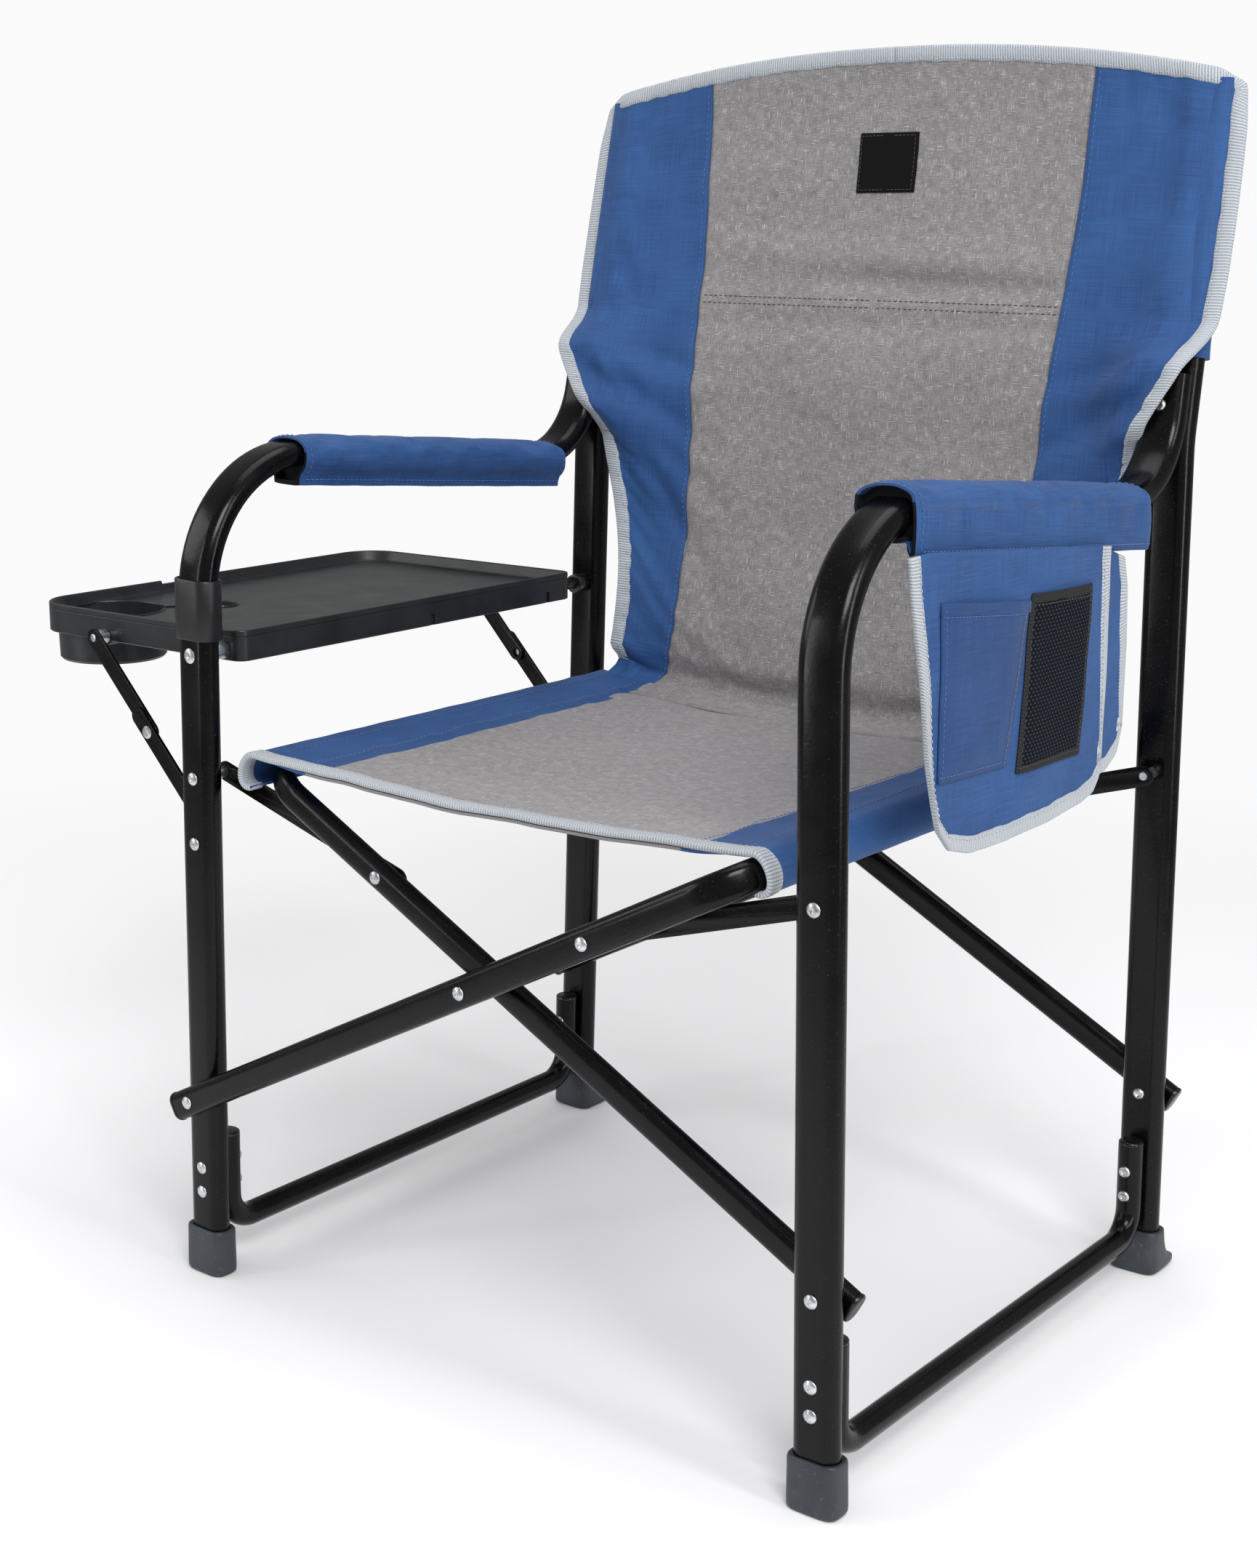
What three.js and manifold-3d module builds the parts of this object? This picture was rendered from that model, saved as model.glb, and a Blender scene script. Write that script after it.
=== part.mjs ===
// Folding director chair with a drop-down side table and a hanging side pocket.
// Millimetres, +Z up. Origin: on the floor, at the bottom centre of the chair's
// whole box, tray included. Shapes are drawn about the centre of the four feet,
// and the chair group shifts them to the origin. The sitter faces -Y. Left and
// right are as seen from the front: the table is at -X, the pocket at +X.
import * as THREE from 'three';
import { mergeVertices } from 'three/addons/utils/BufferGeometryUtils.js';
import Module from 'manifold-3d';

const wasm = await Module();
wasm.setup();

// ------------------------------------------------------------ dimensions
const FEET_CENTRE = { x: 95.235, y: -17.09 }; // centre of the four feet, from the origin
const GAP = 0.3; // between neighbouring parts

// Tube sections: flat ovals, the floor rail round.
const LEG = { thickness: 18, width: 33, wall: 1.6 };
const CROSS = { thickness: 13.4, width: 22, wall: 1.5 };
const RAIL = { thickness: 19, width: 19, wall: 1.6 };

// Side frames
const LEG_SPACING = 560; // between the leg centres at the floor, across the seat
const LEG_DEPTH = 461.6; // between front and rear leg centres
const LEG_END_Z = 6;
const TILT = Math.atan(0.025); // inward lean of each side frame
const FRONT = -LEG_DEPTH / 2;
const REAR = LEG_DEPTH / 2;
const LEG_INNER = REAR - LEG.thickness / 2; // leg face towards the chair's middle
const LEG_OUTER = REAR + LEG.thickness / 2;
const HEAD_SEAT = LEG_OUTER + GAP; // where a pin head sits outside a leg

const ARM_BEND = 96;
const ARM_BEND_REAR = 66;
const ARM_SLOPE = 0.0875;
const ARM_ANGLE = Math.atan(ARM_SLOPE);
const ARM_FRONT_Z = 533; // centre of the front arm bend
const ARM_END_Z = 688;
const ARM_END_GAP = 0.5; // from the arm's upturned end to the rear upright
const ARM_RIVET_Z = 664;
const ARM_RIVET_REACH = 18.7; // from the joint to either head

const BACK_KNEE_Z = 640; // where the rear upright starts to lean back
const BACK_KNEE_BEND = 90;
const BACK_SLOPE = 0.19;
const BACK_ANGLE = Math.atan(BACK_SLOPE);
const BACK_TOP_Z = 888;

const SIDE_RAIL_Z = 33;
const SIDE_RAIL_TOP = 108;
const SIDE_RAIL_BEND = 24;

// Cross tubes. Each is a loop: one run passes inside a leg, the other outside.
const PIVOT_Z = 146; // lower pivots, up the legs
const CROSS_Z = 292; // crossing pivot
const RAIL_DIST = 250; // crossing pivot to seat rail, along the tube
const CROSS_TAIL = 17; // tube past the lower pivot
const CROSS_BEND = 38;
const CROSS_HALF = CROSS.thickness / 2;
const INNER_RUN = LEG_INNER - GAP - CROSS_HALF; // distance of the run's centre from y = 0
const OUTER_RUN = HEAD_SEAT + CROSS_HALF;
const pivotX = LEG_SPACING / 2 - PIVOT_Z * Math.sin(TILT);
const pivotDrop = CROSS_Z - PIVOT_Z * Math.cos(TILT);
const CROSS_ANGLE = Math.atan2(pivotDrop, pivotX);
const CROSS_LOW = Math.hypot(pivotDrop, pivotX); // crossing pivot to lower pivot
const SEAT_RAIL = {
  x: RAIL_DIST * Math.cos(CROSS_ANGLE),
  z: CROSS_Z + RAIL_DIST * Math.sin(CROSS_ANGLE),
};

// Links between legs and cross tubes. Plate spans are [inner y, outer y] at the rear.
const LINK_Z = 398; // link pivots, up the legs
const LINK_DIST = 118.77; // crossing pivot to link rivet, along the tube
const LINK_WIDTH = 15.5;
const LINK_TAIL = 9; // extra length past the lower hole
const linkFarOuter = INNER_RUN - CROSS_HALF - 2 * GAP;
const LINK_FAR = [linkFarOuter - 2, linkFarOuter];
const LINK_NEAR = [LEG_INNER - GAP - 3, LEG_INNER - GAP];

// Side table
const TABLE = {
  x0: -490, x1: -251, y0: -205.4, y1: 186,
  top: 505, under: 482, floorTop: 496, floorUnder: 493, wall: 2.6,
  outerCorner: 34, innerCorner: 10,
};
const TABLE_HINGE = { x: -268, z: 490 };
const HINGE_PIN_R = 3.9;
const HINGE_LEG_HOLE_R = 4.4;
const HINGE_HUB = { radius: 8, depth: 14, hole: 4.5, holeDepth: 12 };
const CUP = { x: -446, y: -160, radius: 40.5, wall: 2.6, bottom: 459, drainRadius: 27 };
const KEYHOLE = { x: -397, y: -88, radius: 13, neckWidth: 13 };
const BRACE_TRAY = { x: -401, z: 486 };
const BRACE_LEG = { x: -271, z: 348 };
const BRACE_LOWER = 99.8; // leg hole to knee hole
const BRACE_WIDTH = 14;
const BRACE_TAIL = 15; // lower bar past the knee hole
const BRACE_THICK = 2.8;
const lowerBraceInner = LEG_INNER - GAP - BRACE_THICK;
const BRACE_LOWER_SPAN = [lowerBraceInner, LEG_INNER - GAP];
const BRACE_UPPER_SPAN = [lowerBraceInner - GAP - BRACE_THICK, lowerBraceInner - GAP];

const PIN_R = 3;
const HOLE_R = 3.5;
// Domed pin head: share of the head radius, height past the seated face.
const PIN_DOME = [[0, 2.1], [0.7, 1.8], [1, 0.5], [1, 0]];

const ENDS = ['front', 'rear'];
// pad: first and last y of the arm pad
const SIDES = {
  left: { sign: -1, pad: [-140, 168] },
  right: { sign: 1, pad: [-166, 154] },
};

// ------------------------------------------------------- outline tables
// Rear foot from the side: y from the leg centre, z.
const REAR_FOOT_PROFILE = [
  [-13, -2], [34, -2], [34, 4], [21, 10], [13.5, 24], [12, 34], [-12, 34],
];
// Lower part of the arm pad's section: across the arm, up.
const PAD_FLAP = [[-22.4, -9], [-15, -15.5], [-13.5, -24], [13.5, -24], [15, -15.5], [22.4, -9]];
// Side pocket outline: y, z.
const POCKET_OUTLINE = [
  [-187, 604], [-160, 606], [85, 584], [122, 560], [124, 446],
  [92, 419], [60, 410], [-96, 408], [-128, 424], [-141, 440],
];
// Back sheet rows: z, half width, y of the front face, rise and forward bulge
// at mid width.
const BACK_ROWS = [
  [430, 211, 188, 0, 0], [470, 212, 196, 0, 0], [515, 216, 203, 0, 0],
  [565, 225, 210, 0, 0], [620, 236, 215, 0, 0], [670, 241, 220, 0, 0],
  [690, 243, 223, 0, 0], [700, 284, 229, 0, 2], [730, 285, 235.5, 0, 2],
  [770, 284, 243, 0, 2], [810, 283, 250.6, 0, 2], [850, 281, 258.2, 12, 2],
  [893, 277, 266.3, 30, 2],
];

// ------------------------------------------------------------- materials
const paint = (settings) => new THREE.MeshStandardMaterial(settings);
const BLACK_STEEL = paint({ color: 0x0b0b0d, roughness: 0.22, metalness: 0.35 });
const ZINC = paint({ color: 0xb9bcc0, roughness: 0.32, metalness: 0.9 });
const DARK_PLASTIC = paint({ color: 0x34383d, roughness: 0.55, metalness: 0 });
const BLACK_PLASTIC = paint({ color: 0x0d0d0e, roughness: 0.42, metalness: 0 });
const BLUE = paint({ color: 0x2b4f8c, roughness: 0.85, metalness: 0 });
const HEATHER = paint({ color: 0x85827f, roughness: 0.95, metalness: 0 });

// ------------------------------------------------------- solids and meshes
const V = (x, y, z) => new THREE.Vector3(x, y, z);
const basis = (x, y, z) => new THREE.Matrix4().makeBasis(V(...x), V(...y), V(...z));
const shifted = (x, y, z) => new THREE.Matrix4().makeTranslation(x, y, z);

function solid(geometry, matrix) {
  const bare = geometry.clone();
  for (const name of Object.keys(bare.attributes)) {
    if (name !== 'position') bare.deleteAttribute(name);
  }
  if (matrix) bare.applyMatrix4(matrix);
  const welded = mergeVertices(bare, 1e-3);
  return new wasm.Manifold(new wasm.Mesh({
    numProp: 3,
    vertProperties: welded.attributes.position.array,
    triVerts: new Uint32Array(welded.index.array),
  }));
}

// The largest body of a solid, as a plain geometry.
function geometryOf(manifold) {
  const [largest] = manifold.decompose().sort((a, b) => b.volume() - a.volume());
  const { numVert, numProp, vertProperties, triVerts } = largest.getMesh();
  const positions = new Float32Array(numVert * 3);
  for (let i = 0; i < numVert; i++) {
    positions.set(vertProperties.subarray(i * numProp, i * numProp + 3), i * 3);
  }
  const geometry = new THREE.BufferGeometry();
  geometry.setAttribute('position', new THREE.BufferAttribute(positions, 3));
  geometry.setIndex(new THREE.BufferAttribute(new Uint32Array(triVerts), 1));
  geometry.computeVertexNormals();
  return geometry;
}

function add(parent, name, geometry, material) {
  const mesh = new THREE.Mesh(geometry, material);
  mesh.name = name;
  parent.add(mesh);
}

// ---------------------------------------------------------------- shapes
const vectors = (pairs) => pairs.map(([a, b]) => new THREE.Vector2(a, b));
const polygon = (pairs) => new THREE.Shape(vectors(pairs));

function arc(centreA, centreB, radius, from, turn, steps) {
  return Array.from({ length: steps + 1 }, (_, i) => {
    const angle = from + (turn * i) / steps;
    return [centreA + radius * Math.cos(angle), centreB + radius * Math.sin(angle)];
  });
}

// A flat oval, its width along the second axis; round if width equals thickness.
function ovalPoints({ thickness, width }, grow = 0, arcSteps = 5) {
  const radius = (thickness + grow) / 2;
  const offset = (width - thickness) / 2;
  // on a circle the halves would share their end points
  const count = offset > 0 ? arcSteps + 1 : arcSteps;
  const half = Array.from({ length: count }, (_, i) => {
    const angle = (Math.PI * i) / arcSteps;
    return new THREE.Vector2(radius * Math.cos(angle), offset + radius * Math.sin(angle));
  });
  return [...half, ...half.map((point) => point.clone().negate())];
}
const ovalShape = (section, grow, arcSteps) =>
  new THREE.Shape(ovalPoints(section, grow, arcSteps));

function tubeShape(section, arcSteps = 5) {
  const shape = ovalShape(section, 0, arcSteps);
  shape.holes.push(new THREE.Path(ovalPoints(section, -2 * section.wall, arcSteps - 2)));
  return shape;
}

const extrude = (shape, depth) =>
  new THREE.ExtrudeGeometry(shape, { depth, bevelEnabled: false });

// Plates drawn in X and Z, or in Y and Z.
const plateXZ = (shape, [y0, y1]) =>
  extrude(shape, y1 - y0).rotateX(Math.PI / 2).translate(0, y1, 0);
const TO_YZ = basis([0, 1, 0], [0, 0, 1], [1, 0, 0]);
const plateYZ = (shape, [x0, x1]) =>
  extrude(shape, x1 - x0).applyMatrix4(TO_YZ).translate(x0, 0, 0);

// A leg-like section extruded down from z = top.
const DOWNWARD = basis([0, 1, 0], [1, 0, 0], [0, 0, -1]);
const hangingOval = (shape, depth, y, top) =>
  solid(extrude(shape, depth), DOWNWARD.clone().setPosition(0, y, top));

// A centre line of straight runs and round bends in one plane. `side` is the
// plane's normal, and the section's second axis follows it.
class BentLine extends THREE.Curve {
  constructor(points, radii, side, quarterSteps) {
    super();
    this.side = side;
    const direction = (from, to) => to.clone().sub(from).normalize();
    const last = points.length - 1;
    this.nodes = [{ point: points[0], tangent: direction(points[0], points[1]) }];
    for (let i = 1; i < last; i++) {
      const before = direction(points[i - 1], points[i]);
      const after = direction(points[i], points[i + 1]);
      this.addBend(points[i], before, after, radii[i - 1], quarterSteps);
    }
    this.nodes.push({ point: points[last], tangent: direction(points[last - 1], points[last]) });
  }
  addBend(corner, before, after, radius, quarterSteps) {
    const turn = Math.acos(THREE.MathUtils.clamp(before.dot(after), -1, 1));
    const inward = after.clone().addScaledVector(before, -Math.cos(turn)).normalize();
    const centre = corner.clone()
      .addScaledVector(before, -radius * Math.tan(turn / 2))
      .addScaledVector(inward, radius);
    const count = Math.max(1, Math.round((quarterSteps * turn) / (Math.PI / 2)));
    for (let i = 0; i <= count; i++) {
      const angle = (turn * i) / count;
      const [cos, sin] = [Math.cos(angle), Math.sin(angle)];
      this.nodes.push({
        point: centre.clone()
          .addScaledVector(inward, -radius * cos)
          .addScaledVector(before, radius * sin),
        tangent: before.clone().multiplyScalar(cos).addScaledVector(inward, sin),
      });
    }
  }
  get steps() {
    return this.nodes.length - 1;
  }
  // The sweep puts one section on each node.
  getPointAt(u) {
    return this.nodes[Math.round(u * this.steps)].point.clone();
  }
  computeFrenetFrames() {
    const tangents = this.nodes.map(({ tangent }) => tangent.clone());
    return {
      tangents,
      normals: tangents.map((tangent) => this.side.clone().cross(tangent).normalize()),
      binormals: tangents.map(() => this.side.clone()),
    };
  }
}
const sweep = (shape, line) =>
  new THREE.ExtrudeGeometry(shape, {
    steps: line.steps,
    extrudePath: line,
    bevelEnabled: false,
  });

// A part turned about the Y axis; pairs are [radius, y] from low y to high y.
const turned = (pairs, segments) => new THREE.LatheGeometry(vectors(pairs), segments);
function rodY(radius, [y0, y1], segments = 8) {
  return turned([[0, y0], [radius, y0], [radius, y1], [0, y1]], segments);
}
const rodSolid = ({ x, z }, radius, span, segments) =>
  solid(rodY(radius, span, segments), shifted(x, 0, z));
const around = (y, reach) => [y - reach, y + reach];

// Spans along Y are given as at the rear, [inner, outer], and mirrored at the front.
const spanAt = (end, [inner, outer]) => (end === 'rear' ? [inner, outer] : [-outer, -inner]);

// A pin along Y with optional domed heads past its span. Collars are
// [inner y, outer y, radius].
function pinGeometry(spec, end) {
  const { span, headInner = true, headOuter = true, collars = [] } = spec;
  const { radius = PIN_R, headRadius = 4.9 } = spec;
  const [low, high] = spanAt(end, span);
  const [headLow, headHigh] = end === 'rear' ? [headInner, headOuter] : [headOuter, headInner];
  const head = (y, way) => PIN_DOME.map(([share, rise]) => [share * headRadius, y + way * rise]);
  const rings = collars
    .map(([inner, outer, ring]) => [...spanAt(end, [inner, outer]), ring])
    .sort((a, b) => a[0] - b[0]);
  const profile = [
    ...(headLow ? head(low, -1) : [[0, low]]),
    [radius, low],
    ...rings.flatMap(([y0, y1, ring]) => [[radius, y0], [ring, y0], [ring, y1], [radius, y1]]),
    [radius, high],
    ...(headHigh ? head(high, 1).reverse() : [[0, high]]),
  ];
  // a collar that starts at the pin's end repeats a point
  const distinct = profile.filter(([r, y], i) => {
    const previous = profile[i - 1];
    return i === 0 || r !== previous[0] || Math.abs(y - previous[1]) > 1e-6;
  });
  return turned(distinct, 8);
}
function addPin(parent, name, spec, end, { x, z }, material = ZINC) {
  add(parent, name, pinGeometry(spec, end).translate(x, 0, z), material);
}

// A bar in X and Z with round ends and a hole at each given point; `tail`
// lengthens it past the second hole.
function barGeometry(first, second, width, span, tail = 0) {
  const angle = Math.atan2(second.z - first.z, second.x - first.x);
  const tipX = second.x + Math.cos(angle) * tail;
  const tipZ = second.z + Math.sin(angle) * tail;
  const shape = polygon([
    ...arc(tipX, tipZ, width / 2, angle - Math.PI / 2, Math.PI, 5),
    ...arc(first.x, first.z, width / 2, angle + Math.PI / 2, Math.PI, 5),
  ]);
  for (const { x, z } of [first, second]) {
    shape.holes.push(new THREE.Path(vectors(arc(x, z, HOLE_R, 0, 1.75 * Math.PI, 7))));
  }
  return plateXZ(shape, span);
}

// A tube-end plug: a stub inside the tube and a cap just clear of its end, at z = 0.
function plugGeometry(capShape, stubShape, stubDepth, capDepth) {
  const stub = solid(extrude(stubShape, stubDepth + 1).translate(0, 0, -stubDepth));
  const cap = solid(extrude(capShape, capDepth).translate(0, 0, GAP));
  return geometryOf(stub.add(cap));
}

const chair = new THREE.Group();
chair.position.set(FEET_CENTRE.x, FEET_CENTRE.y, 0);

// ---------------------------------------------------------- side frames
// Each is drawn upright, with its origin at the floor below the leg centres,
// and then leant inward as a group.
const uprightY = (z) => REAR + BACK_SLOPE * (z - BACK_KNEE_Z);
const armEndY = (z) => uprightY(z) - (LEG.thickness + ARM_END_GAP) / Math.cos(BACK_ANGLE);
function armZ(y) {
  const bendTopZ = ARM_FRONT_Z + ARM_BEND * Math.cos(ARM_ANGLE);
  const bendTopY = FRONT + ARM_BEND + ARM_BEND * Math.sin(ARM_ANGLE);
  return bendTopZ - ARM_SLOPE * (y - bendTopY);
}

// Front leg, armrest and the upturned end along the rear upright.
function legArmLine() {
  // where the sloping arm's line meets the upturned end's line
  const cornerY = armEndY(armZ(0)) / (1 + BACK_SLOPE * ARM_SLOPE);
  return new BentLine([
    V(0, FRONT, LEG_END_Z),
    V(0, FRONT, armZ(FRONT)),
    V(0, cornerY, armZ(cornerY)),
    V(0, armEndY(ARM_END_Z), ARM_END_Z),
  ], [ARM_BEND, ARM_BEND_REAR], V(1, 0, 0), 5);
}
const legArm = legArmLine();
const rearLeg = new BentLine([
  V(0, REAR, LEG_END_Z),
  V(0, REAR, BACK_KNEE_Z),
  V(0, uprightY(BACK_TOP_Z), BACK_TOP_Z),
], [BACK_KNEE_BEND], V(1, 0, 0), 14);
// cuts a sliding fit for the leg and arm tube
const legArmClearance = solid(sweep(ovalShape(LEG, 0.9), legArm));

const armRivetMatrix = shifted(0, (armEndY(ARM_RIVET_Z) + uprightY(ARM_RIVET_Z)) / 2, ARM_RIVET_Z)
  .multiply(new THREE.Matrix4().makeRotationX(-BACK_ANGLE));

// At these corners the cross tube runs outside the leg and the link lies past
// the cross tube's depth; at the others the run is inside and the link is close.
const runsOutside = (side, end) => (side === 'left') === (end === 'front');

const PIVOT_PIN_OUTSIDE = { span: [LEG_INNER - GAP, HEAD_SEAT + CROSS.thickness + GAP] };
const PIVOT_PIN_INSIDE = { span: [LEG_INNER - CROSS.thickness - 2 * GAP, HEAD_SEAT] };
const LINK_PIN_SPACED = {
  span: [LINK_FAR[0] - 0.1, HEAD_SEAT],
  headInner: false,
  collars: [[LINK_FAR[1] + 0.2, LEG_INNER - GAP, 4.2]],
};
const LINK_PIN_CLOSE = { span: [LINK_NEAR[0] - GAP, HEAD_SEAT] };
const BRACE_LEG_PIN = { span: [LEG_INNER - 3.4, HEAD_SEAT], headInner: false };
const HINGE_PIN = { headInner: false, radius: HINGE_PIN_R, headRadius: 5.6 };
const HINGE_PINS = {
  front: {
    ...HINGE_PIN,
    span: [-TABLE.y0 - 11, HEAD_SEAT],
    collars: [[-TABLE.y0 + GAP, LEG_INNER - GAP, 6.4]],
  },
  rear: {
    ...HINGE_PIN,
    span: [TABLE.y1 - 11, HEAD_SEAT],
    collars: [
      [TABLE.y1 + GAP, TABLE.y1 + 8, 6.4],
      [LEG_INNER - 13, LEG_INNER - GAP, 8],
    ],
  },
};

function addLegs(frame, side, tableHoles) {
  const holes = [{ x: 0, z: PIVOT_Z }, { x: 0, z: LINK_Z }, ...tableHoles];
  const rivetHole = solid(rodY(HOLE_R, [-22, 22]), armRivetMatrix);
  const drilledLeg = (line, y) => {
    let leg = solid(sweep(tubeShape(LEG), line));
    for (const hole of holes) {
      leg = leg.subtract(rodSolid(hole, hole.radius ?? HOLE_R, around(y, 12)));
    }
    return geometryOf(leg.subtract(rivetHole));
  };
  add(frame, `leg_arm_${side}`, drilledLeg(legArm, FRONT), BLACK_STEEL);
  add(frame, `rear_leg_${side}`, drilledLeg(rearLeg, REAR), BLACK_STEEL);
  const rivet = pinGeometry({ span: [-ARM_RIVET_REACH, ARM_RIVET_REACH] }, 'rear');
  add(frame, `arm_rivet_${side}`, rivet.applyMatrix4(armRivetMatrix), ZINC);
}

// Floor rail between the legs, turned up against their inner faces.
function addSideRail(frame, side) {
  const riserY = LEG_INNER - GAP - RAIL.thickness / 2;
  const line = new BentLine([
    V(0, -riserY, SIDE_RAIL_TOP),
    V(0, -riserY, SIDE_RAIL_Z),
    V(0, riserY, SIDE_RAIL_Z),
    V(0, riserY, SIDE_RAIL_TOP),
  ], [SIDE_RAIL_BEND, SIDE_RAIL_BEND], V(1, 0, 0), 3);
  add(frame, `side_rail_${side}`, sweep(tubeShape(RAIL, 6), line), BLACK_STEEL);
  for (const end of ENDS) {
    const plug = plugGeometry(ovalShape(RAIL), ovalShape(RAIL, -5, 4), 8, 3.4);
    plug.translate(0, end === 'front' ? -riserY : riserY, SIDE_RAIL_TOP);
    add(frame, `rail_plug_${end}_${side}`, plug, BLACK_PLASTIC);
  }
}

function addFeet(frame, side) {
  // hollowed for the leg, and cut flush with the floor once the frame leans
  const finished = (body, y) => {
    const depth = 60;
    const bottom = LEG_END_Z - 0.4;
    const legPocket = hangingOval(ovalShape(LEG, 0.7), depth, y, bottom + depth);
    const belowFloor = solid(
      new THREE.BoxGeometry(200, 200, 40),
      frame.matrix.clone().invert().multiply(shifted(frame.position.x, y, -20)),
    );
    return geometryOf(body.subtract(legPocket).subtract(belowFloor));
  };
  const frontShape = ovalShape({ thickness: 24, width: 39 }, 0, 4);
  const front = hangingOval(frontShape, 39, FRONT, 37);
  const rearShape = polygon(REAR_FOOT_PROFILE.map(([y, z]) => [REAR + y, z]));
  const rear = solid(plateYZ(rearShape, [-19.5, 19.5]));
  add(frame, `foot_front_${side}`, finished(front, FRONT), DARK_PLASTIC);
  add(frame, `foot_rear_${side}`, finished(rear, REAR), DARK_PLASTIC);
}

// Sleeve pad on the arm: rounded top, flap below.
function addArmPad(frame, side) {
  const [from, to] = SIDES[side].pad;
  const length = (to - from) / Math.cos(ARM_ANGLE);
  const middle = (from + to) / 2;
  const crown = Array.from({ length: 9 }, (_, i) => {
    const angle = (Math.PI * i) / 8;
    return [22.4 * Math.cos(angle), 2 + 10.8 * Math.sin(angle)];
  });
  const [cos, sin] = [Math.cos(ARM_ANGLE), Math.sin(ARM_ANGLE)];
  const pad = solid(
    extrude(polygon([...crown, ...PAD_FLAP]), length).translate(0, 0, -length / 2),
    basis([-1, 0, 0], [0, sin, cos], [0, cos, -sin]).setPosition(0, middle, armZ(middle)),
  );
  add(frame, `arm_pad_${side}`, geometryOf(pad.subtract(legArmClearance)), BLUE);
}

function addLegPins(frame, side) {
  for (const end of ENDS) {
    const outside = runsOutside(side, end);
    const pivot = outside ? PIVOT_PIN_OUTSIDE : PIVOT_PIN_INSIDE;
    const link = outside ? LINK_PIN_SPACED : LINK_PIN_CLOSE;
    addPin(frame, `pivot_pin_${end}_${side}`, pivot, end, { x: 0, z: PIVOT_Z });
    addPin(frame, `link_pin_${end}_${side}`, link, end, { x: 0, z: LINK_Z });
  }
}

function addTablePins(frame, hinge, brace) {
  for (const end of ENDS) {
    addPin(frame, `table_hinge_pin_${end}`, HINGE_PINS[end], end, hinge, BLACK_PLASTIC);
    addPin(frame, `brace_pin_${end}`, BRACE_LEG_PIN, end, brace);
  }
}

// Collar round the left front leg, below the arm bend.
function addLegCollar(frame) {
  const section = { thickness: LEG.thickness + 6, width: LEG.width + 5.4 };
  const collar = hangingOval(ovalShape(section), 44, FRONT + 0.4, 546);
  add(frame, 'leg_collar_left', geometryOf(collar.subtract(legArmClearance)), BLACK_PLASTIC);
}

function addSideFrame(side) {
  const { sign } = SIDES[side];
  const frame = new THREE.Group();
  frame.position.set((sign * LEG_SPACING) / 2, 0, 0);
  frame.rotation.y = -sign * TILT;
  frame.updateMatrix();
  chair.add(frame);

  const toFrame = frame.matrix.clone().invert();
  const hinge = V(TABLE_HINGE.x, 0, TABLE_HINGE.z).applyMatrix4(toFrame);
  const brace = V(BRACE_LEG.x, 0, BRACE_LEG.z).applyMatrix4(toFrame);
  const tableHoles = [
    { x: hinge.x, z: hinge.z, radius: HINGE_LEG_HOLE_R },
    { x: brace.x, z: brace.z },
  ];
  addLegs(frame, side, side === 'left' ? tableHoles : []);
  addSideRail(frame, side);
  addFeet(frame, side);
  addArmPad(frame, side);
  addLegPins(frame, side);
  if (side === 'left') {
    addTablePins(frame, hinge, brace);
    addLegCollar(frame);
  }
  return frame;
}
const frames = { left: addSideFrame('left'), right: addSideFrame('right') };

// Flat pocket hanging outside the right armrest.
add(chair, 'side_pocket', plateYZ(polygon(POCKET_OUTLINE), [289.6, 296]), BLUE);

// --------------------------------------------------------- cross tubes
// Drawn in a frame at the crossing pivot: local x runs down the tube to the
// lower pivot, local y is the chair's y. Tube b is tube a turned half round.
const crossLine = new BentLine([
  V(CROSS_LOW + CROSS_TAIL, -INNER_RUN, 0),
  V(-RAIL_DIST, -INNER_RUN, 0),
  V(-RAIL_DIST, OUTER_RUN, 0),
  V(CROSS_LOW + CROSS_TAIL, OUTER_RUN, 0),
], [CROSS_BEND, CROSS_BEND], V(0, 0, 1), 3);

const INNER_RIVET = {
  span: [INNER_RUN - CROSS_HALF - 0.1, INNER_RUN + CROSS_HALF + 0.2],
  headInner: false,
};
// has a long shoulder that reaches in to the link
const OUTER_RIVET = {
  span: [LEG_INNER, OUTER_RUN + CROSS_HALF + 0.2],
  headInner: false,
  collars: [[LEG_INNER, OUTER_RUN - CROSS_HALF - 0.2, 6.5]],
};
// crossing pivot, with a spacer between the tubes
const CROSS_PIN = {
  span: [INNER_RUN - CROSS_HALF - 0.2, OUTER_RUN + CROSS_HALF + 0.2],
  collars: [[LEG_INNER, LEG_OUTER, 7]],
};

function crossTubeGeometry() {
  let tube = solid(sweep(tubeShape(CROSS), crossLine));
  for (const x of [CROSS_LOW, 0, -LINK_DIST]) {
    for (const y of [-INNER_RUN, OUTER_RUN]) {
      tube = tube.subtract(rodSolid({ x, z: 0 }, HOLE_R, around(y, 9)));
    }
  }
  return geometryOf(tube);
}
const crossTube = crossTubeGeometry();
const crossPlug = plugGeometry(ovalShape(CROSS, 0.4, 4), ovalShape(CROSS, -4.2, 3), 9, 3)
  .applyMatrix4(TO_YZ);

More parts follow.
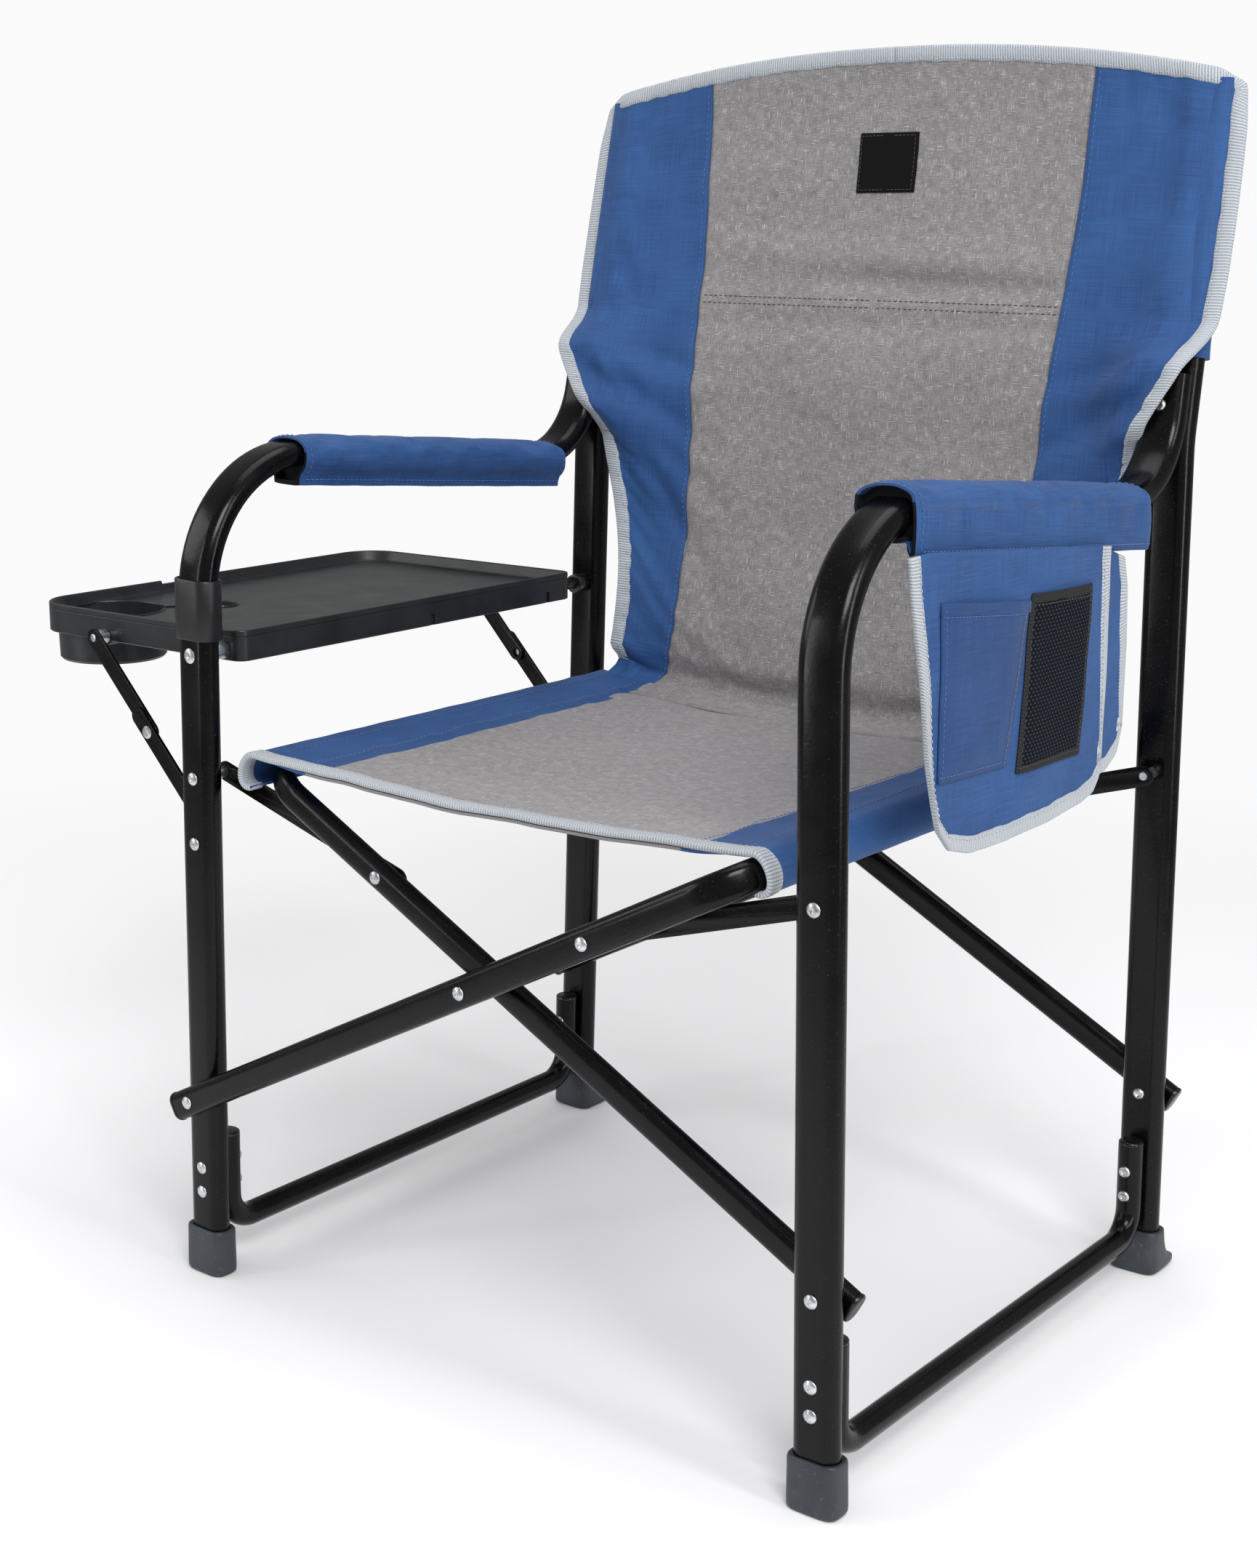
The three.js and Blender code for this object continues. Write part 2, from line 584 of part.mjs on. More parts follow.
// innerEnd and outerEnd: the chair end where the tube's inner and outer run lie
function addCross(key, halfTurn, innerEnd, outerEnd) {
  const group = new THREE.Group();
  group.position.set(0, 0, CROSS_Z);
  group.rotation.set(0, CROSS_ANGLE, halfTurn, 'ZYX');
  group.updateMatrix();
  chair.add(group);

  add(group, `cross_tube_${key}`, crossTube.clone(), BLACK_STEEL);
  for (const [end, y] of [[innerEnd, -INNER_RUN], [outerEnd, OUTER_RUN]]) {
    const plug = crossPlug.clone().translate(CROSS_LOW + CROSS_TAIL, y, 0);
    add(group, `cross_plug_${key}_${end}`, plug, BLACK_PLASTIC);
  }
  // in the group's own frame the inner run is always at the front
  const linkPoint = { x: -LINK_DIST, z: 0 };
  addPin(group, `link_rivet_${key}_${innerEnd}`, INNER_RIVET, 'front', linkPoint);
  addPin(group, `link_rivet_${key}_${outerEnd}`, OUTER_RIVET, 'rear', linkPoint);
  return group;
}
const crossA = addCross('a', 0, 'front', 'rear');
const crossB = addCross('b', Math.PI, 'rear', 'front');

// The half turn of tube b swaps the ends.
addPin(crossB, 'cross_pin_rear', CROSS_PIN, 'front', { x: 0, z: 0 });
addPin(crossB, 'cross_pin_front', CROSS_PIN, 'rear', { x: 0, z: 0 });

// --------------------------------------------------------------- links
function addLink(side, end) {
  const upper = V(0, 0, LINK_Z).applyMatrix4(frames[side].matrix);
  const lower = {
    x: SIDES[side].sign * LINK_DIST * Math.cos(CROSS_ANGLE),
    z: CROSS_Z + LINK_DIST * Math.sin(CROSS_ANGLE),
  };
  const span = spanAt(end, runsOutside(side, end) ? LINK_FAR : LINK_NEAR);
  const bar = barGeometry(upper, lower, LINK_WIDTH, span, LINK_TAIL);
  add(chair, `link_${side}_${end}`, bar, BLACK_STEEL);
}
for (const side of Object.keys(SIDES)) {
  for (const end of ENDS) addLink(side, end);
}

// --------------------------------------------------------------- table
function boxSolid([x0, x1], [y0, y1], [z0, z1]) {
  const box = new THREE.BoxGeometry(x1 - x0, y1 - y0, z1 - z0);
  return solid(box.translate((x0 + x1) / 2, (y0 + y1) / 2, (z0 + z1) / 2));
}
function cylinderSolid({ x, y }, radius, [z0, z1], segments) {
  const cylinder = new THREE.CylinderGeometry(radius, radius, z1 - z0, segments);
  return solid(cylinder.rotateX(Math.PI / 2).translate(x, y, (z0 + z1) / 2));
}

// The tray outline, moved in by `inset` with its corner radii kept.
function traySlab(inset, z0, z1) {
  const { outerCorner, innerCorner } = TABLE;
  const [x0, x1] = [TABLE.x0 + inset, TABLE.x1 - inset];
  const [y0, y1] = [TABLE.y0 + inset, TABLE.y1 - inset];
  const corner = (x, y, radius, from) => arc(x, y, radius, from, Math.PI / 2, 4);
  const outline = polygon([
    ...corner(x1 - innerCorner, y1 - innerCorner, innerCorner, 0),
    ...corner(x0 + outerCorner, y1 - outerCorner, outerCorner, Math.PI / 2),
    ...corner(x0 + outerCorner, y0 + outerCorner, outerCorner, Math.PI),
    ...corner(x1 - innerCorner, y0 + innerCorner, innerCorner, 1.5 * Math.PI),
  ]);
  return solid(extrude(outline, z1 - z0).translate(0, 0, z0));
}

function withCup(tray) {
  const { x0, x1, y0, y1, floorTop } = TABLE;
  const { radius, wall, bottom, drainRadius } = CUP;
  const trayBox = (inset) => boxSolid([x0 + inset, x1], [y0 + inset, y1], [400, 600]);
  const outside = cylinderSolid(CUP, radius + wall, [bottom, floorTop], 24);
  const inside = cylinderSolid(CUP, radius, [bottom + wall, floorTop + 1], 24);
  return tray
    .add(outside.intersect(trayBox(0.2)))
    .subtract(inside.intersect(trayBox(2.4)))
    .subtract(cylinderSolid(CUP, drainRadius, [bottom - 1, bottom + 4], 12));
}

// Keyhole slot in the floor: a neck from the cup well to a round end.
function withKeyhole(tray) {
  const { x0, x1, y0, y1, floorTop, floorUnder } = TABLE;
  const [dx, dy] = [KEYHOLE.x - CUP.x, KEYHOLE.y - CUP.y];
  const neck = solid(
    new THREE.BoxGeometry(Math.hypot(dx, dy), KEYHOLE.neckWidth, 40),
    shifted((KEYHOLE.x + CUP.x) / 2, (KEYHOLE.y + CUP.y) / 2, floorUnder)
      .multiply(new THREE.Matrix4().makeRotationZ(Math.atan2(dy, dx))),
  );
  const floorZone = boxSolid([x0, x1], [y0, y1], [floorUnder - 12, floorTop + 1]);
  return tray
    .subtract(neck.intersect(floorZone))
    .subtract(cylinderSolid(KEYHOLE, KEYHOLE.radius, [floorUnder - 1, floorTop + 1], 14));
}

function withSlotsAndNotches(tray) {
  const { x1, under } = TABLE;
  const notch = (y) => boxSolid([x1 - 3, x1 + 1], around(y, 2.6), [under - 1, under + 9]);
  return tray
    // two long slots near the front edge
    .subtract(boxSolid([-398, -292], [-189, -184], [480, 500]))
    .subtract(boxSolid([-392, -292], [-176, -171], [480, 500]))
    // notches in the lower edge of the rim beside the chair
    .subtract(notch(6))
    .subtract(notch(152));
}

function withPinHoles(tray) {
  const { y0, y1 } = TABLE;
  const { radius, depth, hole, holeDepth } = HINGE_HUB;
  return tray
    .add(rodSolid(TABLE_HINGE, radius, [y0 + 0.2, y0 + depth], 12))
    .add(rodSolid(TABLE_HINGE, radius, [y1 - depth, y1 - 0.2], 12))
    .subtract(rodSolid(TABLE_HINGE, hole, [y0 - 1, y0 + holeDepth]))
    .subtract(rodSolid(TABLE_HINGE, hole, [y1 - holeDepth, y1 + 1]))
    .subtract(rodSolid(BRACE_TRAY, HOLE_R, [y0 - 1, y0 + 5]))
    .subtract(rodSolid(BRACE_TRAY, HOLE_R, [y1 - 5, y1 + 1]));
}

function addTray() {
  const { under, top, floorTop, floorUnder, wall } = TABLE;
  const shell = traySlab(0, under, top)
    .subtract(traySlab(wall, floorTop, top + 1))
    .subtract(traySlab(wall, under - 1, floorUnder));
  const tray = withPinHoles(withSlotsAndNotches(withKeyhole(withCup(shell))));
  add(chair, 'table_tray', geometryOf(tray), BLACK_PLASTIC);
}
addTray();

// Folding braces: lower bar against the leg, upper bar beside it.
function addBrace(end) {
  const dx = BRACE_TRAY.x - BRACE_LEG.x;
  const dz = BRACE_TRAY.z - BRACE_LEG.z;
  const share = BRACE_LOWER / Math.hypot(dx, dz);
  const knee = { x: BRACE_LEG.x + share * dx, z: BRACE_LEG.z + share * dz };
  const lowerSpan = spanAt(end, BRACE_LOWER_SPAN);
  const upperSpan = spanAt(end, BRACE_UPPER_SPAN);
  const lower = barGeometry(BRACE_LEG, knee, BRACE_WIDTH, lowerSpan, BRACE_TAIL);
  const upper = barGeometry(BRACE_TRAY, knee, BRACE_WIDTH, upperSpan);
  add(chair, `brace_lower_${end}`, lower, BLACK_STEEL);
  add(chair, `brace_upper_${end}`, upper, BLACK_STEEL);

  const trayEdge = end === 'rear' ? TABLE.y1 : -TABLE.y0;
  const trayPin = {
    span: [trayEdge - 4, BRACE_LOWER_SPAN[0] - 0.15],
    headInner: false,
    headOuter: false,
    collars: [[trayEdge + 0.2, BRACE_UPPER_SPAN[0] - 0.2, 5.5]],
  };
  const kneePin = {
    span: [BRACE_LOWER_SPAN[0] + 0.1, BRACE_LOWER_SPAN[1] + 0.2],
    headInner: false,
  };
  addPin(chair, `table_brace_pin_${end}`, trayPin, end, BRACE_TRAY);
  addPin(chair, `brace_knee_pin_${end}`, kneePin, end, knee);
}
ENDS.forEach(addBrace);

// -------------------------------------------------------------- slings
// Seat: a sagging sheet between two sleeves that the seat rails run through.
function addSeatSling() {
  const span = [-230, 190];
  const [sag, thickness] = [9, 3];
  const edgeZ = SEAT_RAIL.z + 12.4;
  const topLine = Array.from({ length: 9 }, (_, i) => {
    const u = -1 + i / 4;
    return [u * (SEAT_RAIL.x + 3), edgeZ - sag * (1 - u * u)];
  });
  const underLine = topLine.map(([x, z]) => [x, z - thickness]);
  const sheet = solid(plateXZ(polygon([...underLine, ...topLine.reverse()]), span));
  const sleeve = (sign) => {
    const railCentre = new THREE.Vector2(sign * SEAT_RAIL.x, SEAT_RAIL.z);
    // the oval's long side stands square to the cross tube
    const points = ovalPoints(CROSS, 6.4).map((point) =>
      point.rotateAround(new THREE.Vector2(), sign * CROSS_ANGLE).add(railCentre));
    return solid(plateXZ(new THREE.Shape(points), span));
  };
  const railClearance = sweep(ovalShape(CROSS, 1.1), crossLine);
  const seat = sheet
    .add(sleeve(-1))
    .add(sleeve(1))
    .subtract(solid(railClearance, crossA.matrix))
    .subtract(solid(railClearance, crossB.matrix));
  add(chair, 'seat_sling', geometryOf(seat), HEATHER);
}
addSeatSling();

// Back: a sheet that widens into a sleeve over each rear upright.
function backSheet() {
  const thickness = 3.4;
  const rowSteps = BACK_ROWS.length - 1;
  const sheet = new THREE.BoxGeometry(2, 1, rowSteps, 8, 1, rowSteps);
  const position = sheet.attributes.position;
  for (let i = 0; i < position.count; i++) {
    const u = position.getX(i); // -1 to 1 across the sheet
    const row = Math.round(position.getZ(i) + rowSteps / 2);
    const [z, halfWidth, frontY, rise, bulge] = BACK_ROWS[row];
    const middle = 1 - u * u;
    const y = frontY + (position.getY(i) + 0.5) * thickness - bulge * middle;
    position.setXYZ(i, u * halfWidth, y, z + rise * middle);
  }
  return solid(sheet);
}

function addBackSling() {
  const alongUpright = (side, grow, z0, z1) => {
    const line = new BentLine([V(0, uprightY(z0), z0), V(0, uprightY(z1), z1)], [], V(1, 0, 0));
    return solid(sweep(ovalShape(LEG, grow), line), frames[side].matrix);
  };
  let back = backSheet();
  for (const side of Object.keys(SIDES)) {
    back = back.add(alongUpright(side, 5.4, 700, BACK_TOP_Z + 3.5));
  }
  for (const side of Object.keys(SIDES)) {
    back = back.subtract(alongUpright(side, 1, 650, BACK_TOP_Z + 0.6));
  }
  add(chair, 'back_sling', geometryOf(back), HEATHER);
}
addBackSling();

const part = new THREE.Group();
part.add(chair);
export default part;
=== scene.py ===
# Folding director chair: steel tube frame, cloth seat and back, padded arms, a folding side
# table on the left and a cloth pocket on the right.
# x runs from left (-) to right (+), y from front (-) to rear (+), z up from the floor.
# Lengths are in mm from the centre of the four feet; meshes are made in metres.
import math
import bmesh
import bpy
import numpy as np
from mathutils import Matrix, Vector, noise


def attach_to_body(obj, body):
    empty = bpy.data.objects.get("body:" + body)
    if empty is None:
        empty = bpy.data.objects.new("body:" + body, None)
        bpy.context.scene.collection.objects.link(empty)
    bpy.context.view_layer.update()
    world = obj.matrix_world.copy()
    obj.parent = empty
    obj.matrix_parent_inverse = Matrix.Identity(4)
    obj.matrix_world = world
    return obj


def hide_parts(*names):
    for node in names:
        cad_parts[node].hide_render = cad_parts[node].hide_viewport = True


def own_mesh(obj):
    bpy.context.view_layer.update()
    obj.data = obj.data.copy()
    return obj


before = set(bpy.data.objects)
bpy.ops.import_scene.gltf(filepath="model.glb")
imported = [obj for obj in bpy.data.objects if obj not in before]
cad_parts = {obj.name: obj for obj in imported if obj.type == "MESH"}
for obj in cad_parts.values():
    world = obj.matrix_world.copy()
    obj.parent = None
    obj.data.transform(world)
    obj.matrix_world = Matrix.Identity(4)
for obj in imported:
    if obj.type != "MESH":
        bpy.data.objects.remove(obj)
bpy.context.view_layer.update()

# ------------------------------------------------------------- dimensions
MM = 0.001
FEET_CENTRE = (95.235, -17.09, 0.0)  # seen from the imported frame's origin
SIDES = (("left", -1), ("right", 1))
PLAY = 0.3                           # clearance between riveted parts

# legs: flat oval tubes that lean inward
LEG_SPACING = 560.0                  # left to right, at the floor
LEG_DEPTH = 461.6                    # front to rear
LEAN = math.atan(0.025)
LEG_W, LEG_T, LEG_WALL = 33.0, 18.0, 1.6
FRONT, REAR = -LEG_DEPTH / 2, LEG_DEPTH / 2
LEG_INNER = REAR - LEG_T / 2         # the leg's faces, as distances from y = 0
LEG_OUTER = REAR + LEG_T / 2

# floor rails, one per side, with risers against the legs
FLOOR_RAIL_D = 19.0
FLOOR_RAIL_Z, RISER_TOP_Z = 33, 108
RISER_Y = LEG_INNER - PLAY - FLOOR_RAIL_D / 2

# crossing tubes: U shapes whose closed ends carry the seat
CROSS_W, CROSS_T, CROSS_WALL = 22.0, 13.4, 1.5
PIVOT_Z, CROSS_Z = 146.0, 292.0      # pivot up the leg; height of the crossing
RAIL_DIST, CROSS_TAIL, CROSS_BEND = 250.0, 17.0, 38.0
CROSS_NEAR = LEG_INNER - PLAY - CROSS_T / 2
CROSS_FAR = LEG_OUTER + PLAY + CROSS_T / 2
PIVOT_X = LEG_SPACING / 2 - PIVOT_Z * math.sin(LEAN)
PIVOT_DROP = CROSS_Z - PIVOT_Z * math.cos(LEAN)
CROSS_ANGLE = math.atan2(PIVOT_DROP, PIVOT_X)
CROSS_LOW = math.hypot(PIVOT_DROP, PIVOT_X)
RAIL_X = RAIL_DIST * math.cos(CROSS_ANGLE)
RAIL_Z = CROSS_Z + RAIL_DIST * math.sin(CROSS_ANGLE)

# link straps between legs and crossing tubes; spans are along y
LINK_Z, LINK_DIST, LINK_W = 398.0, 118.77, 15.5
STRAP_CLOSE = (LEG_INNER - PLAY - 3, LEG_INNER - PLAY)
STRAP_SPACED = (LEG_INNER - 3 * PLAY - CROSS_T - 2, LEG_INNER - 3 * PLAY - CROSS_T)

# arms and back uprights
ARM_BEND, ARM_BEND_REAR, ARM_SLOPE, ARM_FRONT_Z = 96.0, 66.0, 0.0875, 533.0
ARM_TOP_Z, ARM_RIVET_Z = 688, 664
BACK_KNEE_Z, BACK_SLOPE, BACK_TOP_Z = 640.0, 0.19, 888.0

# side table; pairs are (x, z)
TRAY_LEFT, TRAY_RIGHT, TRAY_FRONT, TRAY_REAR = -490.0, -251.0, -205.4, 186.0
TRAY_TOP, TRAY_UNDER, TRAY_WALL = 505.0, 482.0, 2.6
TRAY_FLOOR, TRAY_FLOOR_UNDER = 496.0, 493.0
CUP_X, CUP_Y, CUP_R, CUP_BOTTOM = -446.0, -160.0, 40.5, 459.0
STEM_X, STEM_Y, STEM_R = -397.0, -88.0, 13
TRAY_HINGE = (-268.0, 490.0)
BRACE_TRAY, BRACE_LEG = (-401.0, 486.0), (-271.0, 348.0)
BRACE_LOWER_LENGTH, BRACE_T, BRACE_W = 99.8, 2.8, 14


def side_matrix(side):
    """The leaning frame of a side, in mm."""
    sign = -1 if side == "left" else 1
    lean = Matrix.Rotation(-sign * LEAN, 4, "Y")
    return Matrix.Translation((sign * LEG_SPACING / 2, 0, 0)) @ lean


def cross_matrix(key):
    """The frame of a crossing tube; b is a turned half round."""
    matrix = Matrix.Translation((0, 0, CROSS_Z))
    if key == "b":
        matrix = matrix @ Matrix.Rotation(math.pi, 4, "Z")
    return matrix @ Matrix.Rotation(CROSS_ANGLE, 4, "Y")


# ----------------------------------------------------------- small maths
def ease(t):
    t = max(0.0, min(1.0, t))
    return t * t * (3 - 2 * t)


def hill(t):
    return math.exp(-t * t)


def rough_at(x, y, z):
    return noise.noise(Vector((x, y, z)))


def mirrored(span):
    return (-span[1], -span[0])


def lengths_along(points):
    """Running length at each point of a polyline."""
    total = [0.0]
    for a, b in zip(points, points[1:]):
        total.append(total[-1] + math.dist(a, b))
    return total


# ---------------------------------------------------------------- meshes
def attach(obj, body, replaces=None):
    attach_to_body(obj, body)
    if replaces:
        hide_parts(replaces)


def set_uv(mesh, uv):
    """Adds a UV map from one (u, v) in mm per vertex."""
    layer = mesh.uv_layers.new(name="UVMap")
    index = np.zeros(len(mesh.loops), np.int32)
    mesh.loops.foreach_get("vertex_index", index)
    layer.data.foreach_set("uv", (np.array(uv, float)[index] * MM).astype(np.float32).ravel())


def link(name, data):
    obj = bpy.data.objects.new(name, data)
    bpy.context.scene.collection.objects.link(obj)
    return obj


def discard(obj):
    data = obj.data
    bpy.data.objects.remove(obj)
    bpy.data.meshes.remove(data)


def make(name, verts, faces, material, smooth=True, matrix=None, uv=None):
    """A mesh object from mm points, with uv as one (u, v) per vertex in mm."""
    co = np.array([tuple(v) for v in verts], float)
    if matrix is not None:
        m = np.array(matrix, float)
        co = co @ m[:3, :3].T + m[:3, 3]
    co = co + np.array(FEET_CENTRE)
    mesh = bpy.data.meshes.new(name)
    mesh.from_pydata((co * MM).tolist(), [], faces)
    mesh.validate()
    mesh.update()
    if smooth:
        mesh.polygons.foreach_set("use_smooth", [True] * len(mesh.polygons))
    if uv is not None:
        set_uv(mesh, uv)
    obj = link(name, mesh)
    if material is not None:
        mesh.materials.append(material)
    return obj


def local_points(obj):
    """The vertices back in mm from the centre of the feet."""
    return np.array([v.co for v in obj.data.vertices], float) / MM - np.array(FEET_CENTRE)


def sharp(obj, degrees):
    """Marks edges over an angle as sharp, so that smooth shading keeps them."""
    bm = bmesh.new()
    bm.from_mesh(obj.data)
    limit = math.radians(degrees)
    for e in bm.edges:
        e.smooth = not (len(e.link_faces) == 2 and e.calc_face_angle(0) > limit)
    bm.to_mesh(obj.data)
    bm.free()
    return obj


def turn_out(obj):
    """Turns all faces outward."""
    bm = bmesh.new()
    bm.from_mesh(obj.data)
    bmesh.ops.recalc_face_normals(bm, faces=bm.faces)
    bm.to_mesh(obj.data)
    bm.free()
    return obj


def join(name, objs):
    """Joins meshes into one object, keeping each one's materials."""
    mats, co, faces, mat_of, smooth, uvs = [], [], [], [], [], []
    has_uv = all(obj.data.uv_layers for obj in objs)
    for obj in objs:
        mesh = obj.data
        start = len(co)
        slots = []
        for material in mesh.materials:
            if material not in mats:
                mats.append(material)
            slots.append(mats.index(material))
        co += [tuple(v.co) for v in mesh.vertices]
        for p in mesh.polygons:
            faces.append([i + start for i in p.vertices])
            mat_of.append(slots[p.material_index])
            smooth.append(p.use_smooth)
            if has_uv:
                uvs.extend([tuple(mesh.uv_layers[0].data[k].uv) for k in p.loop_indices])
    mesh = bpy.data.meshes.new(name)
    mesh.from_pydata(co, [], faces)
    mesh.update()
    mesh.polygons.foreach_set("use_smooth", smooth)
    for material in mats:
        mesh.materials.append(material)
    mesh.polygons.foreach_set("material_index", mat_of)
    if has_uv:
        layer = mesh.uv_layers.new(name="UVMap")
        layer.data.foreach_set("uv", np.array(uvs, np.float32).ravel())
    joined = link(name, mesh)
    for obj in objs:
        discard(obj)
    return joined


def band_faces(rings, n, base=0):
    """Quads between successive rings of n vertices."""
    faces = []
    for k in range(rings - 1):
        low = base + k * n
        for i in range(n):
            j = (i + 1) % n
            faces.append((low + i, low + j, low + n + j, low + n + i))
    return faces


def cap_faces(rings, n, base=0):
    last = base + (rings - 1) * n
    return [tuple(base + i for i in reversed(range(n))), tuple(last + i for i in range(n))]


def ring_solid(name, rings, material, **more):
    """A closed body through rings of points that all have the same count."""
    n = len(rings[0])
    faces = band_faces(len(rings), n) + cap_faces(len(rings), n)
    return turn_out(make(name, [p for ring in rings for p in ring], faces, material, **more))


def lofted(name, levels, material, **more):
    """A closed body through (z, loop) levels."""
    rings = [[(p[0], p[1], z) for p in loop] for z, loop in levels]
    return ring_solid(name, rings, material, **more)


def bent(corners, radii, per_quarter, step):
    """Centre line of straight runs and round bends: a list of (point, tangent).
    Runs longer than two steps get extra rings."""
    p = [Vector(q) for q in corners]
    line = [(p[0].copy(), (p[1] - p[0]).normalized())]
    for i, radius in enumerate(radii, 1):
        before = (p[i] - p[i - 1]).normalized()
        after = (p[i + 1] - p[i]).normalized()
        turn = math.acos(before.dot(after))
        inward = (after - before * math.cos(turn)).normalized()
        centre = p[i] - before * (radius * math.tan(turn / 2)) + inward * radius
        count = round(per_quarter * turn / (math.pi / 2))
        for k in range(count + 1):
            f = turn * k / count
            point = centre - inward * (radius * math.cos(f)) + before * (radius * math.sin(f))
            line.append((point, before * math.cos(f) + inward * math.sin(f)))
    line.append((p[-1].copy(), (p[-1] - p[-2]).normalized()))
    dense = [line[0]]
    for point, tangent in line[1:]:
        start, heading = dense[-1]
        pieces = int((point - start).length // step)
        for k in range(1, pieces):
            f = k / pieces
            dense.append((start.lerp(point, f), heading.lerp(tangent, f).normalized()))
        dense.append((point, tangent))
    return dense


def oval(w, h, n=10):
    """Flat oval no wider (first axis) than high (second axis); a circle when they are equal."""
    r = w / 2
    rise = (h - w) / 2
    if rise == 0:
        return [(r * math.cos(math.pi * i / n), r * math.sin(math.pi * i / n))
                for i in range(2 * n)]
    return [(sign * r * math.cos(math.pi * i / n), sign * (rise + r * math.sin(math.pi * i / n)))
            for sign in (1, -1) for i in range(n + 1)]


def tube(name, section, line, side, material, wall=0.0, matrix=None, swell=None, crease=35):
    """Sweeps a section along a centre line lying in a plane with normal `side`.
    The section's first axis is side x tangent, its second is side.
    With a wall the ends are hollow; swell gives a scale at a point."""
    side = Vector(side)
    section = np.array(section, float)
    n, m = len(section), len(line)

    def ring(points, k):
        point, tangent = line[k]
        normal = side.cross(tangent).normalized()
        scale = swell(point) if swell else 1
        return [point + normal * (p * scale) + side * (q * scale) for p, q in points]

    verts = [v for k in range(m) for v in ring(section, k)]
    faces = band_faces(m, n)
    if wall:
        bore_depth = 12.0
        centre = section.mean(0)
        half = np.abs(section - centre).max(0)
        bore = centre + (section - centre) * ((half - wall) / half)
        for k, sign in ((0, 1), (m - 1, -1)):
            mouth = ring(bore, k)
            outer, inner = k * n, len(verts)
            verts += mouth + [v + line[k][1] * (sign * bore_depth) for v in mouth]
            for i in range(n):
                j = (i + 1) % n
                faces.append((outer + i, inner + i, inner + j, outer + j))
                faces.append((inner + i, inner + n + i, inner + n + j, inner + j))
            faces.append(tuple(inner + n + i for i in range(n)))
    else:
        faces += cap_faces(m, n)
    return sharp(turn_out(make(name, verts, faces, material, matrix=matrix)), crease)


def lathe(name, profile, material, matrix=None, n=28, crease=35):
    """Turned part on the Y axis; the profile is (radius, y)."""
    verts, faces, rows = [], [], []
    for r, y in profile:
        count = 1 if r < 1e-6 else n
        rows.append(list(range(len(verts), len(verts) + count)))
        if count == 1:
            verts.append((0, y, 0))
        else:
            angles = [2 * math.pi * i / n for i in range(n)]
            verts += [(r * math.cos(a), y, r * math.sin(a)) for a in angles]
    for a, b in zip(rows, rows[1:]):
        for i in range(n):
            j = (i + 1) % n
            if len(a) == 1:
                faces.append((a[0], b[i], b[j]))
            elif len(b) == 1:
                faces.append((a[i], b[0], a[j]))
            else:
                faces.append((a[i], b[i], b[j], a[j]))
    return sharp(turn_out(make(name, verts, faces, material, matrix=matrix)), crease)


def plate(name, loop, holes, span, material, bevel=0.6):
    """A flat plate with rounded edges; loop and holes are (x, z) points, span is its y range."""
    curve = bpy.data.curves.new(name, "CURVE")
    curve.dimensions = "2D"
    curve.fill_mode = "BOTH"
    for points in [loop] + holes:
        spline = curve.splines.new("POLY")
        spline.points.add(len(points) - 1)
        for k, (x, z) in enumerate(points):
            spline.points[k].co = (x, z, 0, 1)
        spline.use_cyclic_u = True
    curve.extrude = (span[1] - span[0]) / 2 - bevel
    curve.bevel_depth = bevel
    curve.bevel_resolution = 2
    curve.offset = -bevel
    flat = link(name + "_curve", curve)
    bpy.context.view_layer.update()
    depsgraph = bpy.context.evaluated_depsgraph_get()
    mesh = bpy.data.meshes.new_from_object(flat.evaluated_get(depsgraph))
    bpy.data.objects.remove(flat)
    bpy.data.curves.remove(curve)
    stand = Matrix(((1, 0, 0, 0), (0, 0, -1, sum(span) / 2), (0, 1, 0, 0), (0, 0, 0, 1)))
    mesh.transform(Matrix.Scale(MM, 4) @ Matrix.Translation(FEET_CENTRE) @ stand)
    mesh.name = name
    mesh.materials.clear()
    mesh.materials.append(material)
    mesh.polygons.foreach_set("use_smooth", [True] * len(mesh.polygons))
    while mesh.uv_layers:
        mesh.uv_layers.remove(mesh.uv_layers[0])
    obj = link(name, mesh)
    bm = bmesh.new()
    bm.from_mesh(mesh)
    bmesh.ops.remove_doubles(bm, verts=bm.verts, dist=2e-6)
    bmesh.ops.recalc_face_normals(bm, faces=bm.faces)
    bm.to_mesh(mesh)
    bm.free()
    return sharp(obj, 30)


def arc(cx, cy, r, start, end, n):
    """n + 1 points on an arc, angles in degrees."""
    angles = [math.radians(start + (end - start) * i / n) for i in range(n + 1)]
    return [(cx + r * math.cos(a), cy + r * math.sin(a)) for a in angles]


def circle(x, y, r, n=16):
    angles = [2 * math.pi * i / n for i in range(n)]
    return [(x + r * math.cos(a), y + r * math.sin(a)) for a in angles]


def bar_loop(a, b, width, extra=0.0):
    """Outline of a round-ended bar from a to b, reaching `extra` past b."""
    heading = math.atan2(b[1] - a[1], b[0] - a[0])
    degrees = math.degrees(heading)
    bx, bz = b[0] + math.cos(heading) * extra, b[1] + math.sin(heading) * extra
    return (arc(bx, bz, width / 2, degrees - 90, degrees + 90, 12)
            + arc(a[0], a[1], width / 2, degrees + 90, degrees + 270, 12))


